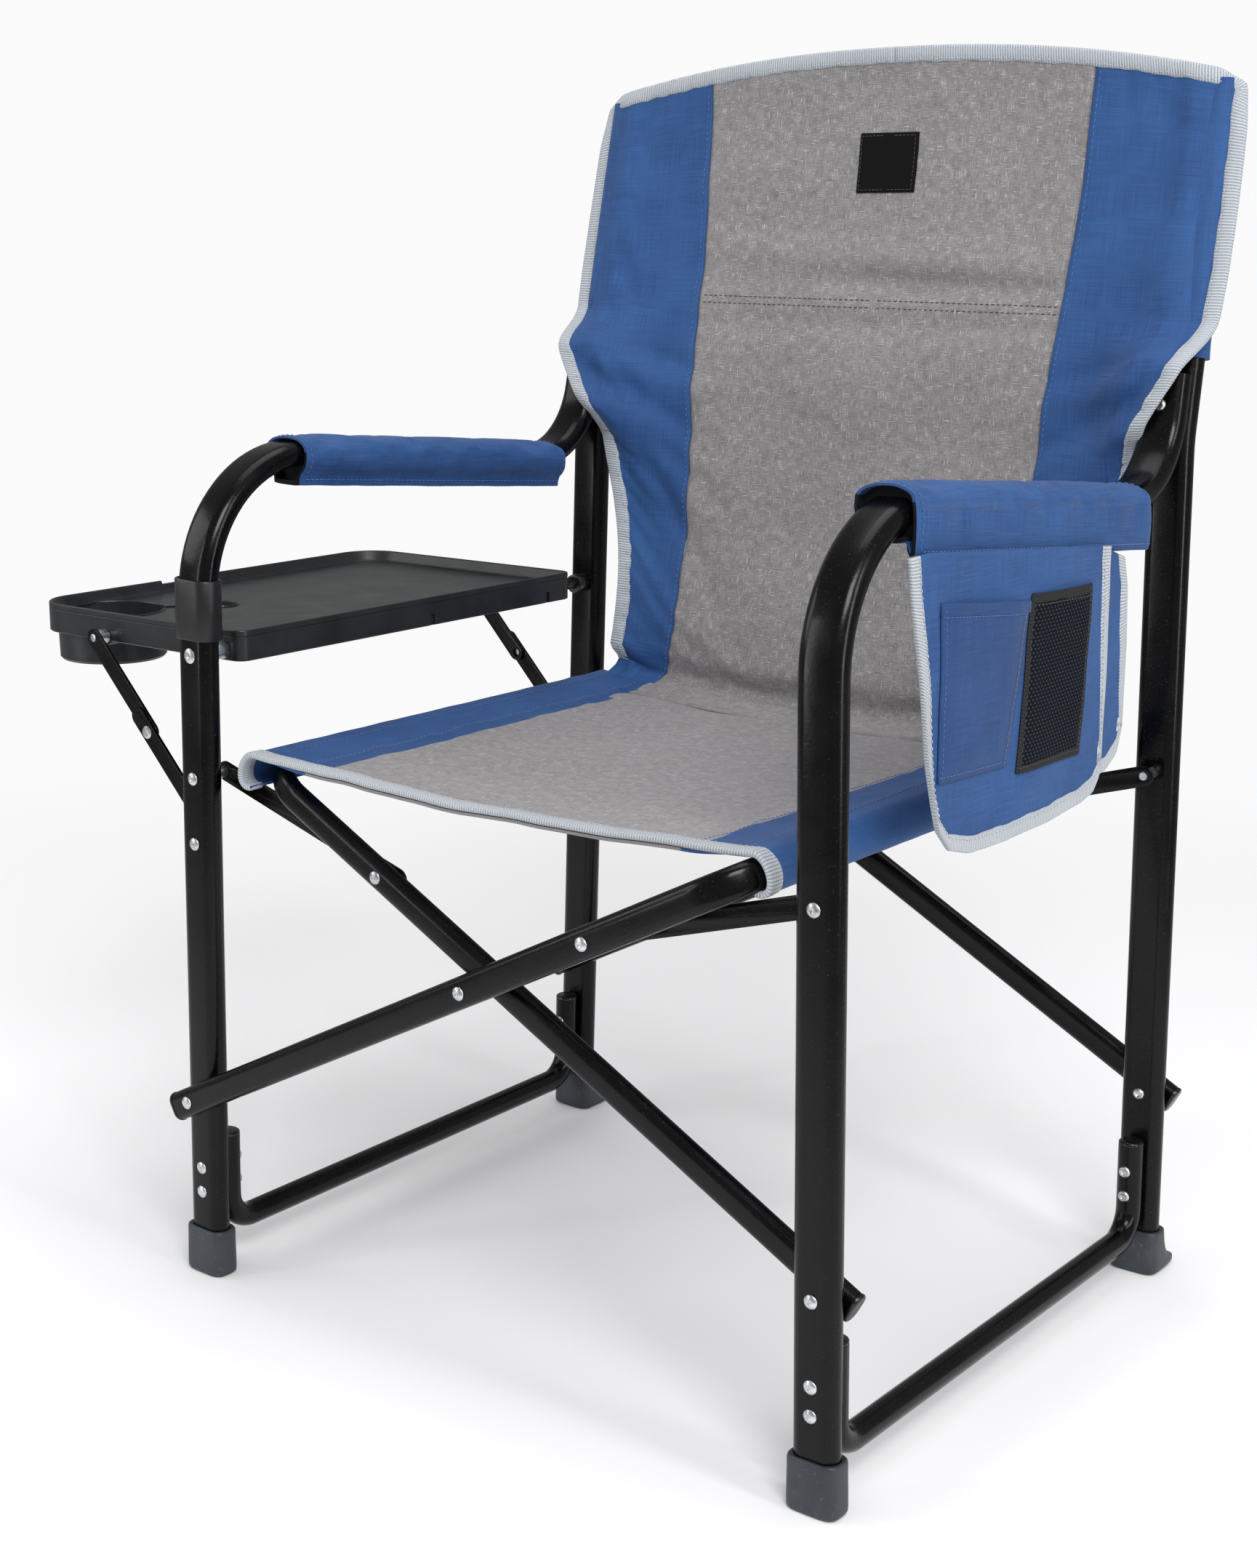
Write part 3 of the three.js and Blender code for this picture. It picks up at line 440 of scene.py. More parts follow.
# ------------------------------------------------------------- materials
class Shader:
    """A small node-graph writer."""

    def __init__(self, name):
        self.material = bpy.data.materials.new(name)
        self.material.use_nodes = True
        self.tree = self.material.node_tree
        self.bsdf = self.tree.nodes["Principled BSDF"]

    def node(self, kind, **values):
        node = self.tree.nodes.new(kind)
        for key, value in values.items():
            setattr(node, key, value)
        return node

    def put(self, socket, value):
        """Links a socket or sets a plain value; None leaves the input alone."""
        if isinstance(value, bpy.types.NodeSocket):
            self.tree.links.new(value, socket)
        elif value is not None:
            socket.default_value = value

    def math(self, operation, a, b=None):
        node = self.node("ShaderNodeMath", operation=operation)
        self.put(node.inputs[0], a)
        self.put(node.inputs[1], b)
        return node.outputs[0]

    def mul(self, value, by):
        return self.math("MULTIPLY", value, by)

    def add(self, a, b):
        return self.math("ADD", a, b)

    def noise(self, vector, scale, detail=2.0, rough=0.5):
        node = self.node("ShaderNodeTexNoise")
        self.put(node.inputs["Vector"], vector)
        node.inputs["Scale"].default_value = scale
        node.inputs["Detail"].default_value = detail
        node.inputs["Roughness"].default_value = rough
        return node.outputs["Fac"]

    def map(self, value, span, to=(0.0, 1.0), interpolation="LINEAR"):
        node = self.node("ShaderNodeMapRange", clamp=True, interpolation_type=interpolation)
        self.put(node.inputs["Value"], value)
        node.inputs["From Min"].default_value = span[0]
        node.inputs["From Max"].default_value = span[1]
        node.inputs["To Min"].default_value = to[0]
        node.inputs["To Max"].default_value = to[1]
        return node.outputs["Result"]

    def mix(self, share, low, high):
        """Colour `low` where share is 0, `high` where it is 1."""
        node = self.node("ShaderNodeMix", data_type="RGBA")
        self.put(node.inputs["Factor"], share)
        colors = [s for s in node.inputs if s.type == "RGBA"]
        self.put(colors[0], low)
        self.put(colors[1], high)
        return [s for s in node.outputs if s.type == "RGBA"][0]

    def coords(self):
        return self.node("ShaderNodeTexCoord").outputs["Object"]

    def uv(self):
        """The UV map as separate u and v, in metres of cloth."""
        parts = self.node("ShaderNodeSeparateXYZ")
        self.put(parts.inputs[0], self.node("ShaderNodeUVMap", uv_map="UVMap").outputs[0])
        return parts.outputs[0], parts.outputs[1]

    def vec(self, x, y, z=0.0):
        node = self.node("ShaderNodeCombineXYZ")
        for socket, value in zip(node.inputs, (x, y, z)):
            self.put(socket, value)
        return node.outputs[0]

    def bump(self, height, strength, distance, normal=None):
        node = self.node("ShaderNodeBump")
        node.inputs["Strength"].default_value = strength
        node.inputs["Distance"].default_value = distance
        self.put(node.inputs["Height"], height)
        self.put(node.inputs["Normal"], normal)
        return node.outputs[0]

    def done(self, color, rough, metal=0.0, normal=None, **more):
        """Fills the Principled inputs; extra names have _ for a space."""
        inputs = self.bsdf.inputs
        self.put(inputs["Base Color"], color)
        self.put(inputs["Roughness"], rough)
        self.put(inputs["Metallic"], metal)
        self.put(inputs["Normal"], normal)
        for key, value in more.items():
            self.put(inputs[key.replace("_", " ")], value)
        return self.material


def rgb(*channels):
    """Linear colour from sRGB bytes."""
    parts = [c / 255 for c in channels]
    return tuple(c / 12.92 if c <= 0.04045 else ((c + 0.055) / 1.055) ** 2.4
                 for c in parts) + (1.0,)


def steel():
    mat = Shader("black_powder_coat")
    place = mat.coords()
    peel = mat.noise(place, scale=420)
    broad = mat.noise(place, scale=26, detail=3.0, rough=0.6)
    speck = mat.map(mat.noise(place, scale=950, detail=1.0), span=(0.70, 0.76))
    color = mat.mix(mat.map(broad, span=(0.35, 0.7)), low=rgb(3, 3, 3), high=rgb(8, 8, 9))
    color = mat.mix(mat.mul(speck, by=0.25), low=color, high=rgb(90, 92, 96))
    rough = mat.add(mat.map(broad, span=(0.3, 0.75), to=(0.17, 0.3)), mat.mul(speck, by=0.2))
    normal = mat.bump(peel, strength=0.10, distance=0.0006)
    return mat.done(color, rough, normal=normal, Coat_Weight=0.04, Coat_Roughness=0.08,
                    Specular_IOR_Level=0.20)


def zinc():
    mat = Shader("zinc_rivet")
    place = mat.coords()
    grain = mat.noise(place, scale=900, detail=4.0, rough=0.65)
    broad = mat.noise(place, scale=160)
    color = mat.mix(mat.map(broad, span=(0.3, 0.7)),
                    low=rgb(176, 180, 184), high=rgb(222, 224, 226))
    rough = mat.map(grain, span=(0.3, 0.7), to=(0.24, 0.46))
    normal = mat.bump(grain, strength=0.25, distance=0.0002)
    return mat.done(color, rough, metal=1.0, normal=normal)


def plastic(name, dark, light, rough, grain, strength, dust=None):
    """Moulded plastic; grain is the scale of its texture, dust the colour of pale flecks."""
    mat = Shader(name)
    place = mat.coords()
    texture = mat.noise(place, scale=grain, rough=0.55)
    broad = mat.noise(place, scale=22, detail=4.0, rough=0.6)
    color = mat.mix(mat.map(broad, span=(0.35, 0.7)), low=dark, high=light)
    shine = mat.map(broad, span=(0.3, 0.7), to=(rough - 0.05, rough + 0.08))
    if dust:
        fleck = mat.map(mat.noise(place, scale=260, detail=3.0, rough=0.7), span=(0.6, 0.78))
        color = mat.mix(mat.mul(fleck, by=0.45), low=color, high=dust)
        shine = mat.add(shine, mat.mul(fleck, by=0.15))
    normal = mat.bump(texture, strength=strength, distance=0.0004)
    return mat.done(color, shine, normal=normal, Specular_IOR_Level=0.45)


def weave(mat, u, v, pitch):
    """Plain-weave height: warp and weft threads in turn."""
    turns = 2 * math.pi / pitch
    wave_u = mat.math("SINE", mat.mul(u, by=turns))
    wave_v = mat.math("SINE", mat.mul(v, by=turns))
    over = mat.mul(wave_u, by=wave_v)
    thread_u = mat.math("ABSOLUTE", mat.math("SINE", mat.mul(u, by=turns / 2)))
    thread_v = mat.math("ABSOLUTE", mat.math("SINE", mat.mul(v, by=turns / 2)))
    return mat.add(mat.mul(over, by=0.35), mat.mul(mat.add(thread_u, thread_v), by=0.3))


def oxford(name, deep, mid, light, pitch=0.00105, sheen=0.08, specular=0.35):
    """Oxford cloth in one colour; pitch is the thread spacing in metres."""
    mat = Shader(name)
    u, v = mat.uv()
    wobble = mat.noise(mat.vec(u, v), scale=55)
    bent_u = mat.add(u, mat.mul(wobble, by=0.0012))
    bent_v = mat.add(v, mat.mul(wobble, by=0.0009))
    height = weave(mat, bent_u, bent_v, pitch)
    warp = mat.noise(mat.vec(mat.mul(u, by=1.0), mat.mul(v, by=0.02)), scale=1500, detail=1.0)
    weft = mat.noise(mat.vec(mat.mul(u, by=0.02), mat.mul(v, by=1.0), z=3.1),
                     scale=1500, detail=1.0)
    yarn = mat.add(mat.mul(warp, by=0.5), mat.mul(weft, by=0.5))
    broad = mat.noise(mat.vec(u, v), scale=11, detail=4.0, rough=0.6)
    color = mat.mix(mat.map(yarn, span=(0.35, 0.66)), low=deep, high=mid)
    color = mat.mix(mat.mul(mat.map(broad, span=(0.35, 0.75)), by=0.35), low=color, high=light)
    # painted shade: darker where the weave lies low, in the hollows between the threads
    color = mat.mix(mat.map(height, span=(0.05, 0.75), to=(0.26, 0.0)),
                    low=color, high=mat.mix(share=0.6, low=(0, 0, 0, 1), high=deep))
    normal = mat.bump(mat.add(height, mat.mul(yarn, by=0.5)), strength=0.42, distance=0.00032)
    wrinkle = mat.noise(mat.vec(u, v), scale=38, detail=3.0, rough=0.55)
    normal = mat.bump(wrinkle, strength=0.16, distance=0.004, normal=normal)
    return mat.done(color, mat.map(yarn, span=(0.3, 0.7), to=(0.62, 0.8)), normal=normal,
                    Sheen_Weight=sheen, Sheen_Roughness=0.4, Specular_IOR_Level=specular)


def heather():
    """Grey melange cloth with pale slub yarns both ways."""
    mat = Shader("heather_grey")
    u, v = mat.uv()
    height = weave(mat, u, v, pitch=0.00115)
    fine = mat.noise(mat.vec(u, v), scale=900, detail=3.0, rough=0.7)
    patchy = mat.noise(mat.vec(u, v, z=7.0), scale=120, detail=3.0, rough=0.6)
    warp = mat.noise(mat.vec(u, mat.mul(v, by=0.07), z=1.0), scale=1750, detail=1.0)
    weft = mat.noise(mat.vec(mat.mul(u, by=0.07), v, z=5.0), scale=1750, detail=1.0)
    # the gates break the slub yarns into short lengths
    gates = [mat.noise(mat.vec(u, v, z=z), scale=130, rough=0.6) for z in (11.0, 17.0)]
    slubs = [mat.mul(mat.map(yarn, span=(0.60, 0.70)), by=mat.map(gate, span=(0.42, 0.60)))
             for yarn, gate in zip((warp, weft), gates)]
    darks = [mat.map(yarn, span=(0.44, 0.34)) for yarn in (warp, weft)]
    mottle = mat.add(mat.mul(fine, by=0.6), mat.mul(patchy, by=0.4))
    color = mat.mix(mat.map(mottle, span=(0.36, 0.66)),
                    low=rgb(112, 109, 110), high=rgb(158, 154, 154))
    color = mat.mix(mat.mul(mat.math("MAXIMUM", *darks), by=0.42),
                    low=color, high=rgb(84, 82, 86))
    color = mat.mix(mat.mul(mat.math("MAXIMUM", *slubs), by=0.72),
                    low=color, high=rgb(208, 205, 206))
    # painted shade: darker where the weave lies low, in the hollows between the threads
    color = mat.mix(mat.map(height, span=(0.05, 0.75), to=(0.32, 0.0)),
                    low=color, high=rgb(60, 60, 64))
    slub = mat.math("MAXIMUM", *slubs)
    normal = mat.bump(mat.add(height, mat.mul(slub, by=0.6)), strength=0.45, distance=0.00034)
    wrinkle = mat.noise(mat.vec(u, v), scale=34, detail=3.0, rough=0.55)
    normal = mat.bump(wrinkle, strength=0.16, distance=0.004, normal=normal)
    return mat.done(color, rough=0.86, normal=normal, Sheen_Weight=0.25, Sheen_Roughness=0.5,
                    Specular_IOR_Level=0.25)


def ribs(mat, u, pitch):
    return mat.math("SINE", mat.mul(u, by=2 * math.pi / pitch))


def ribbon():
    """Silver binding tape with ribs across it."""
    mat = Shader("silver_binding")
    u, v = mat.uv()
    rib = ribs(mat, u, pitch=0.0021)
    yarn = mat.noise(mat.vec(mat.mul(u, by=1.0), mat.mul(v, by=1.0)), scale=1300, rough=0.6)
    # painted shade in the hollows between the ribs and painted highlight on their crests
    color = mat.mix(mat.map(rib, span=(-0.9, 0.6)),
                    low=rgb(112, 118, 126), high=rgb(176, 182, 189))
    color = mat.mix(mat.mul(mat.map(yarn, span=(0.35, 0.7)), by=0.4),
                    low=color, high=rgb(205, 210, 215))
    broad = mat.noise(mat.vec(u, v), scale=30)
    color = mat.mix(mat.mul(mat.map(broad, span=(0.4, 0.7)), by=0.25),
                    low=color, high=rgb(150, 155, 162))
    height = mat.add(mat.mul(rib, by=0.5), mat.mul(yarn, by=0.4))
    normal = mat.bump(height, strength=0.55, distance=0.0005)
    return mat.done(color, rough=0.55, normal=normal, Sheen_Weight=0.3, Specular_IOR_Level=0.4)


def thread(name, dark, light):
    mat = Shader(name)
    fibre = mat.noise(mat.coords(), scale=1500, rough=0.6)
    color = mat.mix(mat.map(fibre, span=(0.35, 0.65)), low=dark, high=light)
    normal = mat.bump(fibre, strength=0.3, distance=0.0002)
    return mat.done(color, rough=0.6, normal=normal, Sheen_Weight=0.2)


def black_mesh():
    """Knitted net: staggered rows of round holes in black yarn."""
    mat = Shader("black_net")
    u, v = mat.uv()
    cell, row_height = 0.0042, 0.0042 * 0.6
    row = mat.math("FLOOR", mat.math("DIVIDE", v, row_height))
    shift = mat.mul(mat.math("MODULO", row, 2.0), by=0.5)
    across = mat.math("FRACT", mat.add(mat.math("DIVIDE", u, cell), shift))
    across = mat.math("SUBTRACT", across, 0.5)
    along = mat.math("FRACT", mat.math("DIVIDE", v, row_height))
    along = mat.math("SUBTRACT", along, 0.5)
    square = mat.add(mat.mul(across, by=across), mat.mul(mat.mul(along, by=along), by=0.7))
    opening = mat.map(mat.math("SQRT", square), span=(0.20, 0.28), to=(1.0, 0.0))
    yarn = mat.noise(mat.vec(u, v), scale=1600, rough=0.6)
    color = mat.mix(mat.map(yarn, span=(0.3, 0.7)), low=rgb(6, 6, 7), high=rgb(20, 20, 22))
    color = mat.mix(opening, low=color, high=rgb(46, 56, 76))
    normal = mat.bump(mat.math("SUBTRACT", 1.0, opening), strength=0.8, distance=0.0012)
    return mat.done(color, rough=0.75, normal=normal, Sheen_Weight=0.0, Specular_IOR_Level=0.10)


def webbing(name, dark, light):
    mat = Shader(name)
    rib = ribs(mat, mat.uv()[0], pitch=0.0024)
    # painted shade in the hollows between the ribs and painted highlight on their crests
    color = mat.mix(mat.map(rib, span=(-0.8, 0.8)), low=dark, high=light)
    normal = mat.bump(rib, strength=0.5, distance=0.0005)
    return mat.done(color, rough=0.75, normal=normal, Sheen_Weight=0.0)


STEEL = steel()
ZINC = zinc()
PLASTIC = plastic("black_satin_plastic", dark=rgb(13, 13, 14), light=rgb(22, 22, 24),
                  rough=0.36, grain=1100, strength=0.25)
TRAY = plastic("black_tray_plastic", dark=rgb(22, 24, 26), light=rgb(34, 37, 39),
               rough=0.34, grain=700, strength=0.30)
GLOSS = plastic("black_gloss_cap", dark=rgb(14, 14, 15), light=rgb(24, 24, 26),
                rough=0.22, grain=1100, strength=0.12)
FOOT = plastic("slate_foot_plastic", dark=rgb(38, 42, 48), light=rgb(56, 61, 68),
               rough=0.48, grain=800, strength=0.35, dust=rgb(104, 108, 112))
BLUE = oxford("blue_oxford", deep=rgb(23, 56, 107), mid=rgb(41, 85, 143),
              light=rgb(56, 107, 167))
DEEP_BLUE = oxford("navy_oxford", deep=rgb(19, 48, 94), mid=rgb(33, 72, 126),
                   light=rgb(47, 92, 150))
LINING = oxford("black_oxford", deep=rgb(12, 13, 16), mid=rgb(24, 25, 30),
                light=rgb(36, 38, 44), sheen=0.04, specular=0.12)
GREY = heather()
RIBBON = ribbon()
BLUE_THREAD = thread("blue_thread", dark=rgb(48, 78, 132), light=rgb(82, 114, 170))
DARK_THREAD = thread("charcoal_thread", dark=rgb(38, 38, 42), light=rgb(62, 62, 66))
SILVER_THREAD = thread("silver_thread", dark=rgb(150, 156, 163), light=rgb(196, 201, 206))
NET = black_mesh()
PATCH = oxford("patch_black", deep=rgb(5, 5, 6), mid=rgb(13, 13, 14), light=rgb(19, 19, 21),
               pitch=0.0008, sheen=0.03, specular=0.12)
BLACK_WEB = webbing("black_webbing", dark=rgb(9, 9, 11), light=rgb(24, 25, 28))


# ---------------------------------------------------- rivets, caps and feet
HEAD_DOME, TAIL_DOME = 2.1, 1.9
# domed head with a small set mark: share of the radius, share of the dome
HEAD_CURVE = [(0.30, 0.97), (0.5, 0.92), (0.74, 0.70), (0.92, 0.38)]


def rivet_end(kind, shaft, radius, y, sign):
    """Profile of a rivet's end from the axis out to the shaft; sign is its way along y."""
    if kind == "flat":
        return [(0, y), (shaft, y)]
    if kind == "head":
        end = [(0, HEAD_DOME - 0.55), (radius * 0.20, HEAD_DOME - 0.5)]
        end += [(radius * r, HEAD_DOME * h) for r, h in HEAD_CURVE]
        end += [(radius, 0.45), (radius, 0)]
    else:  # a tubular tail: a dimple inside a rolled rim
        radius = radius * 0.92
        end = [(0, 0.3), (radius * 0.34, 0.3), (radius * 0.5, TAIL_DOME * 0.8),
               (radius * 0.68, TAIL_DOME), (radius * 0.9, TAIL_DOME * 0.62),
               (radius, 0.2), (radius, 0)]
    return [(r, y + sign * h) for r, h in end] + [(shaft, y)]


def pin(name, y0, y1, low="head", high="head", collars=(), shaft=3.0, head=4.9,
        material=ZINC, matrix=Matrix.Identity(4), at=(0, 0, 0)):
    """A rivet along y; collars are (from y, to y, radius)."""
    profile = rivet_end(low, shaft, head, y0, -1)
    for a, b, r in collars:
        profile += [(shaft, a), (r - 0.3, a), (r, a + 0.3), (r, b - 0.3), (r - 0.3, b),
                    (shaft, b)]
    profile += rivet_end(high, shaft, head, y1, 1)[::-1]
    return lathe(name, profile, material, matrix @ Matrix.Translation(at), n=24, crease=50)


def rivet(name, body, replaces, **shape):
    attach(pin(name, **shape), body, replaces)


# end cap stations: height out of the tube, growth of the outline
CAP_LEVELS = [(-8, -2.6), (0.0, -2.6), (0.3, 0.0), (1.6, 0.0), (2.5, -0.4), (3.0, -1.2),
              (3.3, -2.6)]


def end_cap(name, body, replaces, w, h, matrix):
    """A stub in the tube and a crowned head. Local +z is out of the tube."""
    levels = [(z, oval(w + 2 * grow, h + 2 * grow)) for z, grow in CAP_LEVELS]
    cap = sharp(lofted(name, levels, GLOSS, matrix=matrix), 45)
    attach(cap, body, replaces)


# foot stations: z, half depth toward the front, half depth toward the rear, half width
FOOT_REAR = [(0.9, 11.0, 30.5, 17.6), (0.5, 12.0, 32.6, 18.6), (1.6, 12.8, 33.8, 19.4),
             (4.0, 13.0, 33.6, 19.5), (6.5, 13.0, 28.5, 19.5), (9.8, 13.0, 21.6, 19.4),
             (16, 12.8, 17.2, 19.3), (23.5, 12.6, 13.8, 19.2), (31.0, 12.3, 12.4, 19.1),
             (33.2, 12.0, 12.1, 18.8), (34.0, 11.4, 11.5, 18.1)]
FOOT_FRONT = [(0.9, 10.4, 10.4, 17.6), (0.5, 11.2, 11.2, 18.5), (1.8, 12.0, 12.0, 19.3),
              (5, 12.2, 12.2, 19.5), (16, 12.1, 12.1, 19.4), (28, 11.9, 11.9, 19.2),
              (34.6, 11.9, 11.9, 19.2), (36.4, 11.6, 11.6, 18.9), (37.3, 10.9, 10.9, 18.1)]
FOOT_SOCKET_Z = 6.2


def foot(name, rear, matrix):
    """Moulded shoe with a flat-oval socket; the rear one reaches out behind the leg."""
    stations = FOOT_REAR if rear else FOOT_FRONT
    y = REAR if rear else FRONT
    n = 44
    circle_points = [(math.cos(2 * math.pi * i / n), math.sin(2 * math.pi * i / n))
                     for i in range(n)]
    rings = []
    for z, ahead, behind, width in stations:
        ring = []
        for c, s in circle_points:
            power = 0.36 if rear and s >= 0 else 0.42
            px = width * math.copysign(abs(c) ** power, c)
            py = (behind if s > 0 else ahead) * math.copysign(abs(s) ** 0.62, s)
            ring.append((px, y + py, z))
        rings.append(ring)
    r = LEG_T / 2 + 0.35
    straight = (LEG_W - LEG_T) / 2
    for z in (stations[-1][0], FOOT_SOCKET_Z):
        rings.append([(r * c + math.copysign(straight, c) if abs(c) > 1e-6 else 0,
                       y + r * s, z) for c, s in circle_points])
    obj = ring_solid(name, rings, FOOT, matrix=matrix)
    # the sole stays above the floor whatever the lean
    for v in obj.data.vertices:
        v.co.z = max(v.co.z, 0.0002)
    return sharp(obj, 42)


# ------------------------------------------------------------ side frames
def arm_z(y):
    """Height of the arm's centre line."""
    angle = math.atan(ARM_SLOPE)
    top = ARM_FRONT_Z + ARM_BEND * math.cos(angle)
    bend_end = FRONT + ARM_BEND + ARM_BEND * math.sin(angle)
    return top - ARM_SLOPE * (y - bend_end)


def arm_end_y(z):
    """The arm tube's upturned end, lying in front of the rear upright."""
    gap = (LEG_T + 0.5) / math.cos(math.atan(BACK_SLOPE))
    return REAR - gap + BACK_SLOPE * (z - BACK_KNEE_Z)


def upright_y(z):
    """The rear upright above its knee."""
    return REAR + BACK_SLOPE * (z - BACK_KNEE_Z)


def leg_arm_line():
    y = arm_end_y(600)
    for _ in range(20):  # settles on the meeting of the arm and its upturned end
        y = arm_end_y(arm_z(y))
    corners = [(0, FRONT, 6), (0, FRONT, arm_z(FRONT)), (0, y, arm_z(y)),
               (0, arm_end_y(ARM_TOP_Z), ARM_TOP_Z)]
    return bent(corners, [ARM_BEND, ARM_BEND_REAR], per_quarter=22, step=60)


def upright_line():
    corners = [(0, REAR, 6), (0, REAR, BACK_KNEE_Z), (0, upright_y(BACK_TOP_Z), BACK_TOP_Z)]
    return bent(corners, [90], per_quarter=40, step=60)


def floor_rail_line():
    corners = [(0, -RISER_Y, RISER_TOP_Z), (0, -RISER_Y, FLOOR_RAIL_Z),
               (0, RISER_Y, FLOOR_RAIL_Z), (0, RISER_Y, RISER_TOP_Z)]
    return bent(corners, [24, 24], per_quarter=16, step=12)


def side_tubes(side, matrix):
    leg = oval(LEG_T, LEG_W, 12)
    rail = oval(FLOOR_RAIL_D, FLOOR_RAIL_D, 14)
    for name, replaces, section, line in (
            ("tube_arm_leg_", "leg_arm_", leg, leg_arm_line()),
            ("tube_rear_upright_", "rear_leg_", leg, upright_line()),
            ("tube_floor_rail_", "side_rail_", rail, floor_rail_line())):
        obj = tube(name + side, section, line, (1, 0, 0), STEEL, wall=LEG_WALL, matrix=matrix)
        attach(obj, side + "_frame", replaces + side)


def leg_foot(side, end, matrix):
    """Cap of the floor rail's riser, the shoe, and two rivets through leg and riser."""
    body = side + "_frame"
    where = "%s_%s" % (end, side)
    out = -1 if end == "front" else 1
    riser_y = out * RISER_Y
    end_cap("cap_floor_rail_" + where, body, "rail_plug_" + where, FLOOR_RAIL_D, FLOOR_RAIL_D,
            matrix @ Matrix.Translation((0, riser_y, RISER_TOP_Z)))
    shoe = foot("shoe_" + where, end == "rear", matrix)
    attach(shoe, body, "foot_" + where)
    y0, y1 = sorted((out * LEG_OUTER, riser_y - out * FLOOR_RAIL_D / 2))
    low, high = ("head", "tail") if end == "front" else ("tail", "head")
    rivets = [pin("rivet", y0 - 0.05, y1 + 0.05, low, high, matrix=matrix, at=(0, 0, z))
              for z in (68, 88)]
    attach(join("rivets_floor_rail_" + where, rivets), body)


def flipped(shape):
    """A pin's shape turned end for end about y = 0."""
    return dict(y0=-shape["y1"], y1=-shape["y0"], low=shape["high"], high=shape["low"],
                collars=[(-b, -a, r) for a, b, r in shape["collars"]])


def side_rivets(side, matrix):
    body = side + "_frame"
    arm_y = (arm_end_y(ARM_RIVET_Z) + upright_y(ARM_RIVET_Z)) / 2
    tilt = Matrix.Rotation(-math.atan(BACK_SLOPE), 4, "X")
    rivet("rivet_arm_" + side, body, "arm_rivet_" + side, y0=-18.7, y1=18.7, low="tail",
          matrix=matrix @ Matrix.Translation((0, arm_y, ARM_RIVET_Z)) @ tilt)

    # the crossing tube lies outside one leg and inside the other
    outside = (-(LEG_OUTER + CROSS_T + 2 * PLAY), -(LEG_INNER - PLAY))
    inside = (LEG_INNER - CROSS_T - 2 * PLAY, LEG_OUTER + PLAY)
    if side == "left":
        front, rear = outside, inside
    else:
        front, rear = mirrored(inside), mirrored(outside)
    for end, span, low, high in (("front", front, "head", "tail"),
                                 ("rear", rear, "tail", "head")):
        where = "%s_%s" % (end, side)
        rivet("rivet_pivot_" + where, body, "pivot_pin_" + where, y0=span[0], y1=span[1],
              low=low, high=high, matrix=matrix, at=(0, 0, PIVOT_Z))

    spaced = dict(y0=STRAP_SPACED[0] - 0.1, y1=LEG_OUTER + PLAY, low="flat", high="head",
                  collars=[(STRAP_SPACED[1] + 0.2, LEG_INNER - PLAY, 4.2)])
    close = dict(y0=STRAP_CLOSE[0] - 0.3, y1=LEG_OUTER + PLAY, low="tail", high="head",
                 collars=[])
    if side == "left":
        shapes = (flipped(spaced), close)
    else:
        shapes = (flipped(close), spaced)
    for end, shape in zip(("front", "rear"), shapes):
        where = "%s_%s" % (end, side)
        rivet("rivet_link_" + where, body, "link_pin_" + where, matrix=matrix,
              at=(0, 0, LINK_Z), **shape)


for side, _ in SIDES:
    frame = side_matrix(side)
    side_tubes(side, frame)
    for end in ("front", "rear"):
        leg_foot(side, end, frame)
    side_rivets(side, frame)


# ------------------------------------------------------- crossing tubes
def cross_tube(key, near_end, far_end):
    """One U tube with its end caps and the rivets of its links."""
    body = "cross_" + key
    matrix = cross_matrix(key)
    tail = CROSS_LOW + CROSS_TAIL
    line = bent([(tail, -CROSS_NEAR, 0), (-RAIL_DIST, -CROSS_NEAR, 0),
                 (-RAIL_DIST, CROSS_FAR, 0), (tail, CROSS_FAR, 0)],
                [CROSS_BEND, CROSS_BEND], per_quarter=18, step=70)
    obj = tube("tube_cross_" + key, oval(CROSS_T, CROSS_W, 12), line, (0, 0, 1), STEEL,
               wall=CROSS_WALL, matrix=matrix)
    attach(obj, body, "cross_tube_" + key)
    z_to_x = Matrix(((0, 0, 1, 0), (1, 0, 0, 0), (0, 1, 0, 0), (0, 0, 0, 1)))
    for end, y in ((near_end, -CROSS_NEAR), (far_end, CROSS_FAR)):
        where = "%s_%s" % (key, end)
        end_cap("cap_cross_" + where, body, "cross_plug_" + where, CROSS_T + 0.8, CROSS_W + 0.8,
                matrix @ Matrix.Translation((tail, y, 0)) @ z_to_x)
    half = CROSS_T / 2
    near = dict(y0=-CROSS_NEAR - half - 0.2, y1=-CROSS_NEAR + half + 0.1, high="tail")
    far = dict(y0=LEG_INNER, y1=CROSS_FAR + half + 0.2, low="flat",
               collars=[(LEG_INNER, CROSS_FAR - half - 0.2, 6.5)])
    for end, shape in ((near_end, near), (far_end, far)):
        where = "%s_%s" % (key, end)
        rivet("rivet_brace_" + where, body, "link_rivet_" + where, matrix=matrix,
              at=(-LINK_DIST, 0, 0), **shape)


cross_tube("a", "front", "rear")
cross_tube("b", "rear", "front")
for end, turned in (("rear", Matrix.Identity(4)), ("front", Matrix.Rotation(math.pi, 4, "Z"))):
    rivet("rivet_crossing_" + end, "cross_b", "cross_pin_" + end, high="tail",
          y0=-(CROSS_FAR + CROSS_T / 2 + 0.2), y1=-(CROSS_NEAR - CROSS_T / 2 - 0.2),
          collars=[(-LEG_OUTER, -LEG_INNER, 7)], matrix=cross_matrix("b") @ turned)


def link_strap(side, sign, end, span):
    top = side_matrix(side) @ Vector((0, 0, LINK_Z))
    top = (top.x, top.z)
    low = (sign * LINK_DIST * math.cos(CROSS_ANGLE),
           CROSS_Z + LINK_DIST * math.sin(CROSS_ANGLE))
    obj = plate("strap_link_%s_%s" % (side, end), bar_loop(top, low, LINK_W, extra=9),
                [circle(*top, 3.5), circle(*low, 3.5)], span, STEEL)
    attach(obj, "link_" + side, "link_%s_%s" % (side, end))


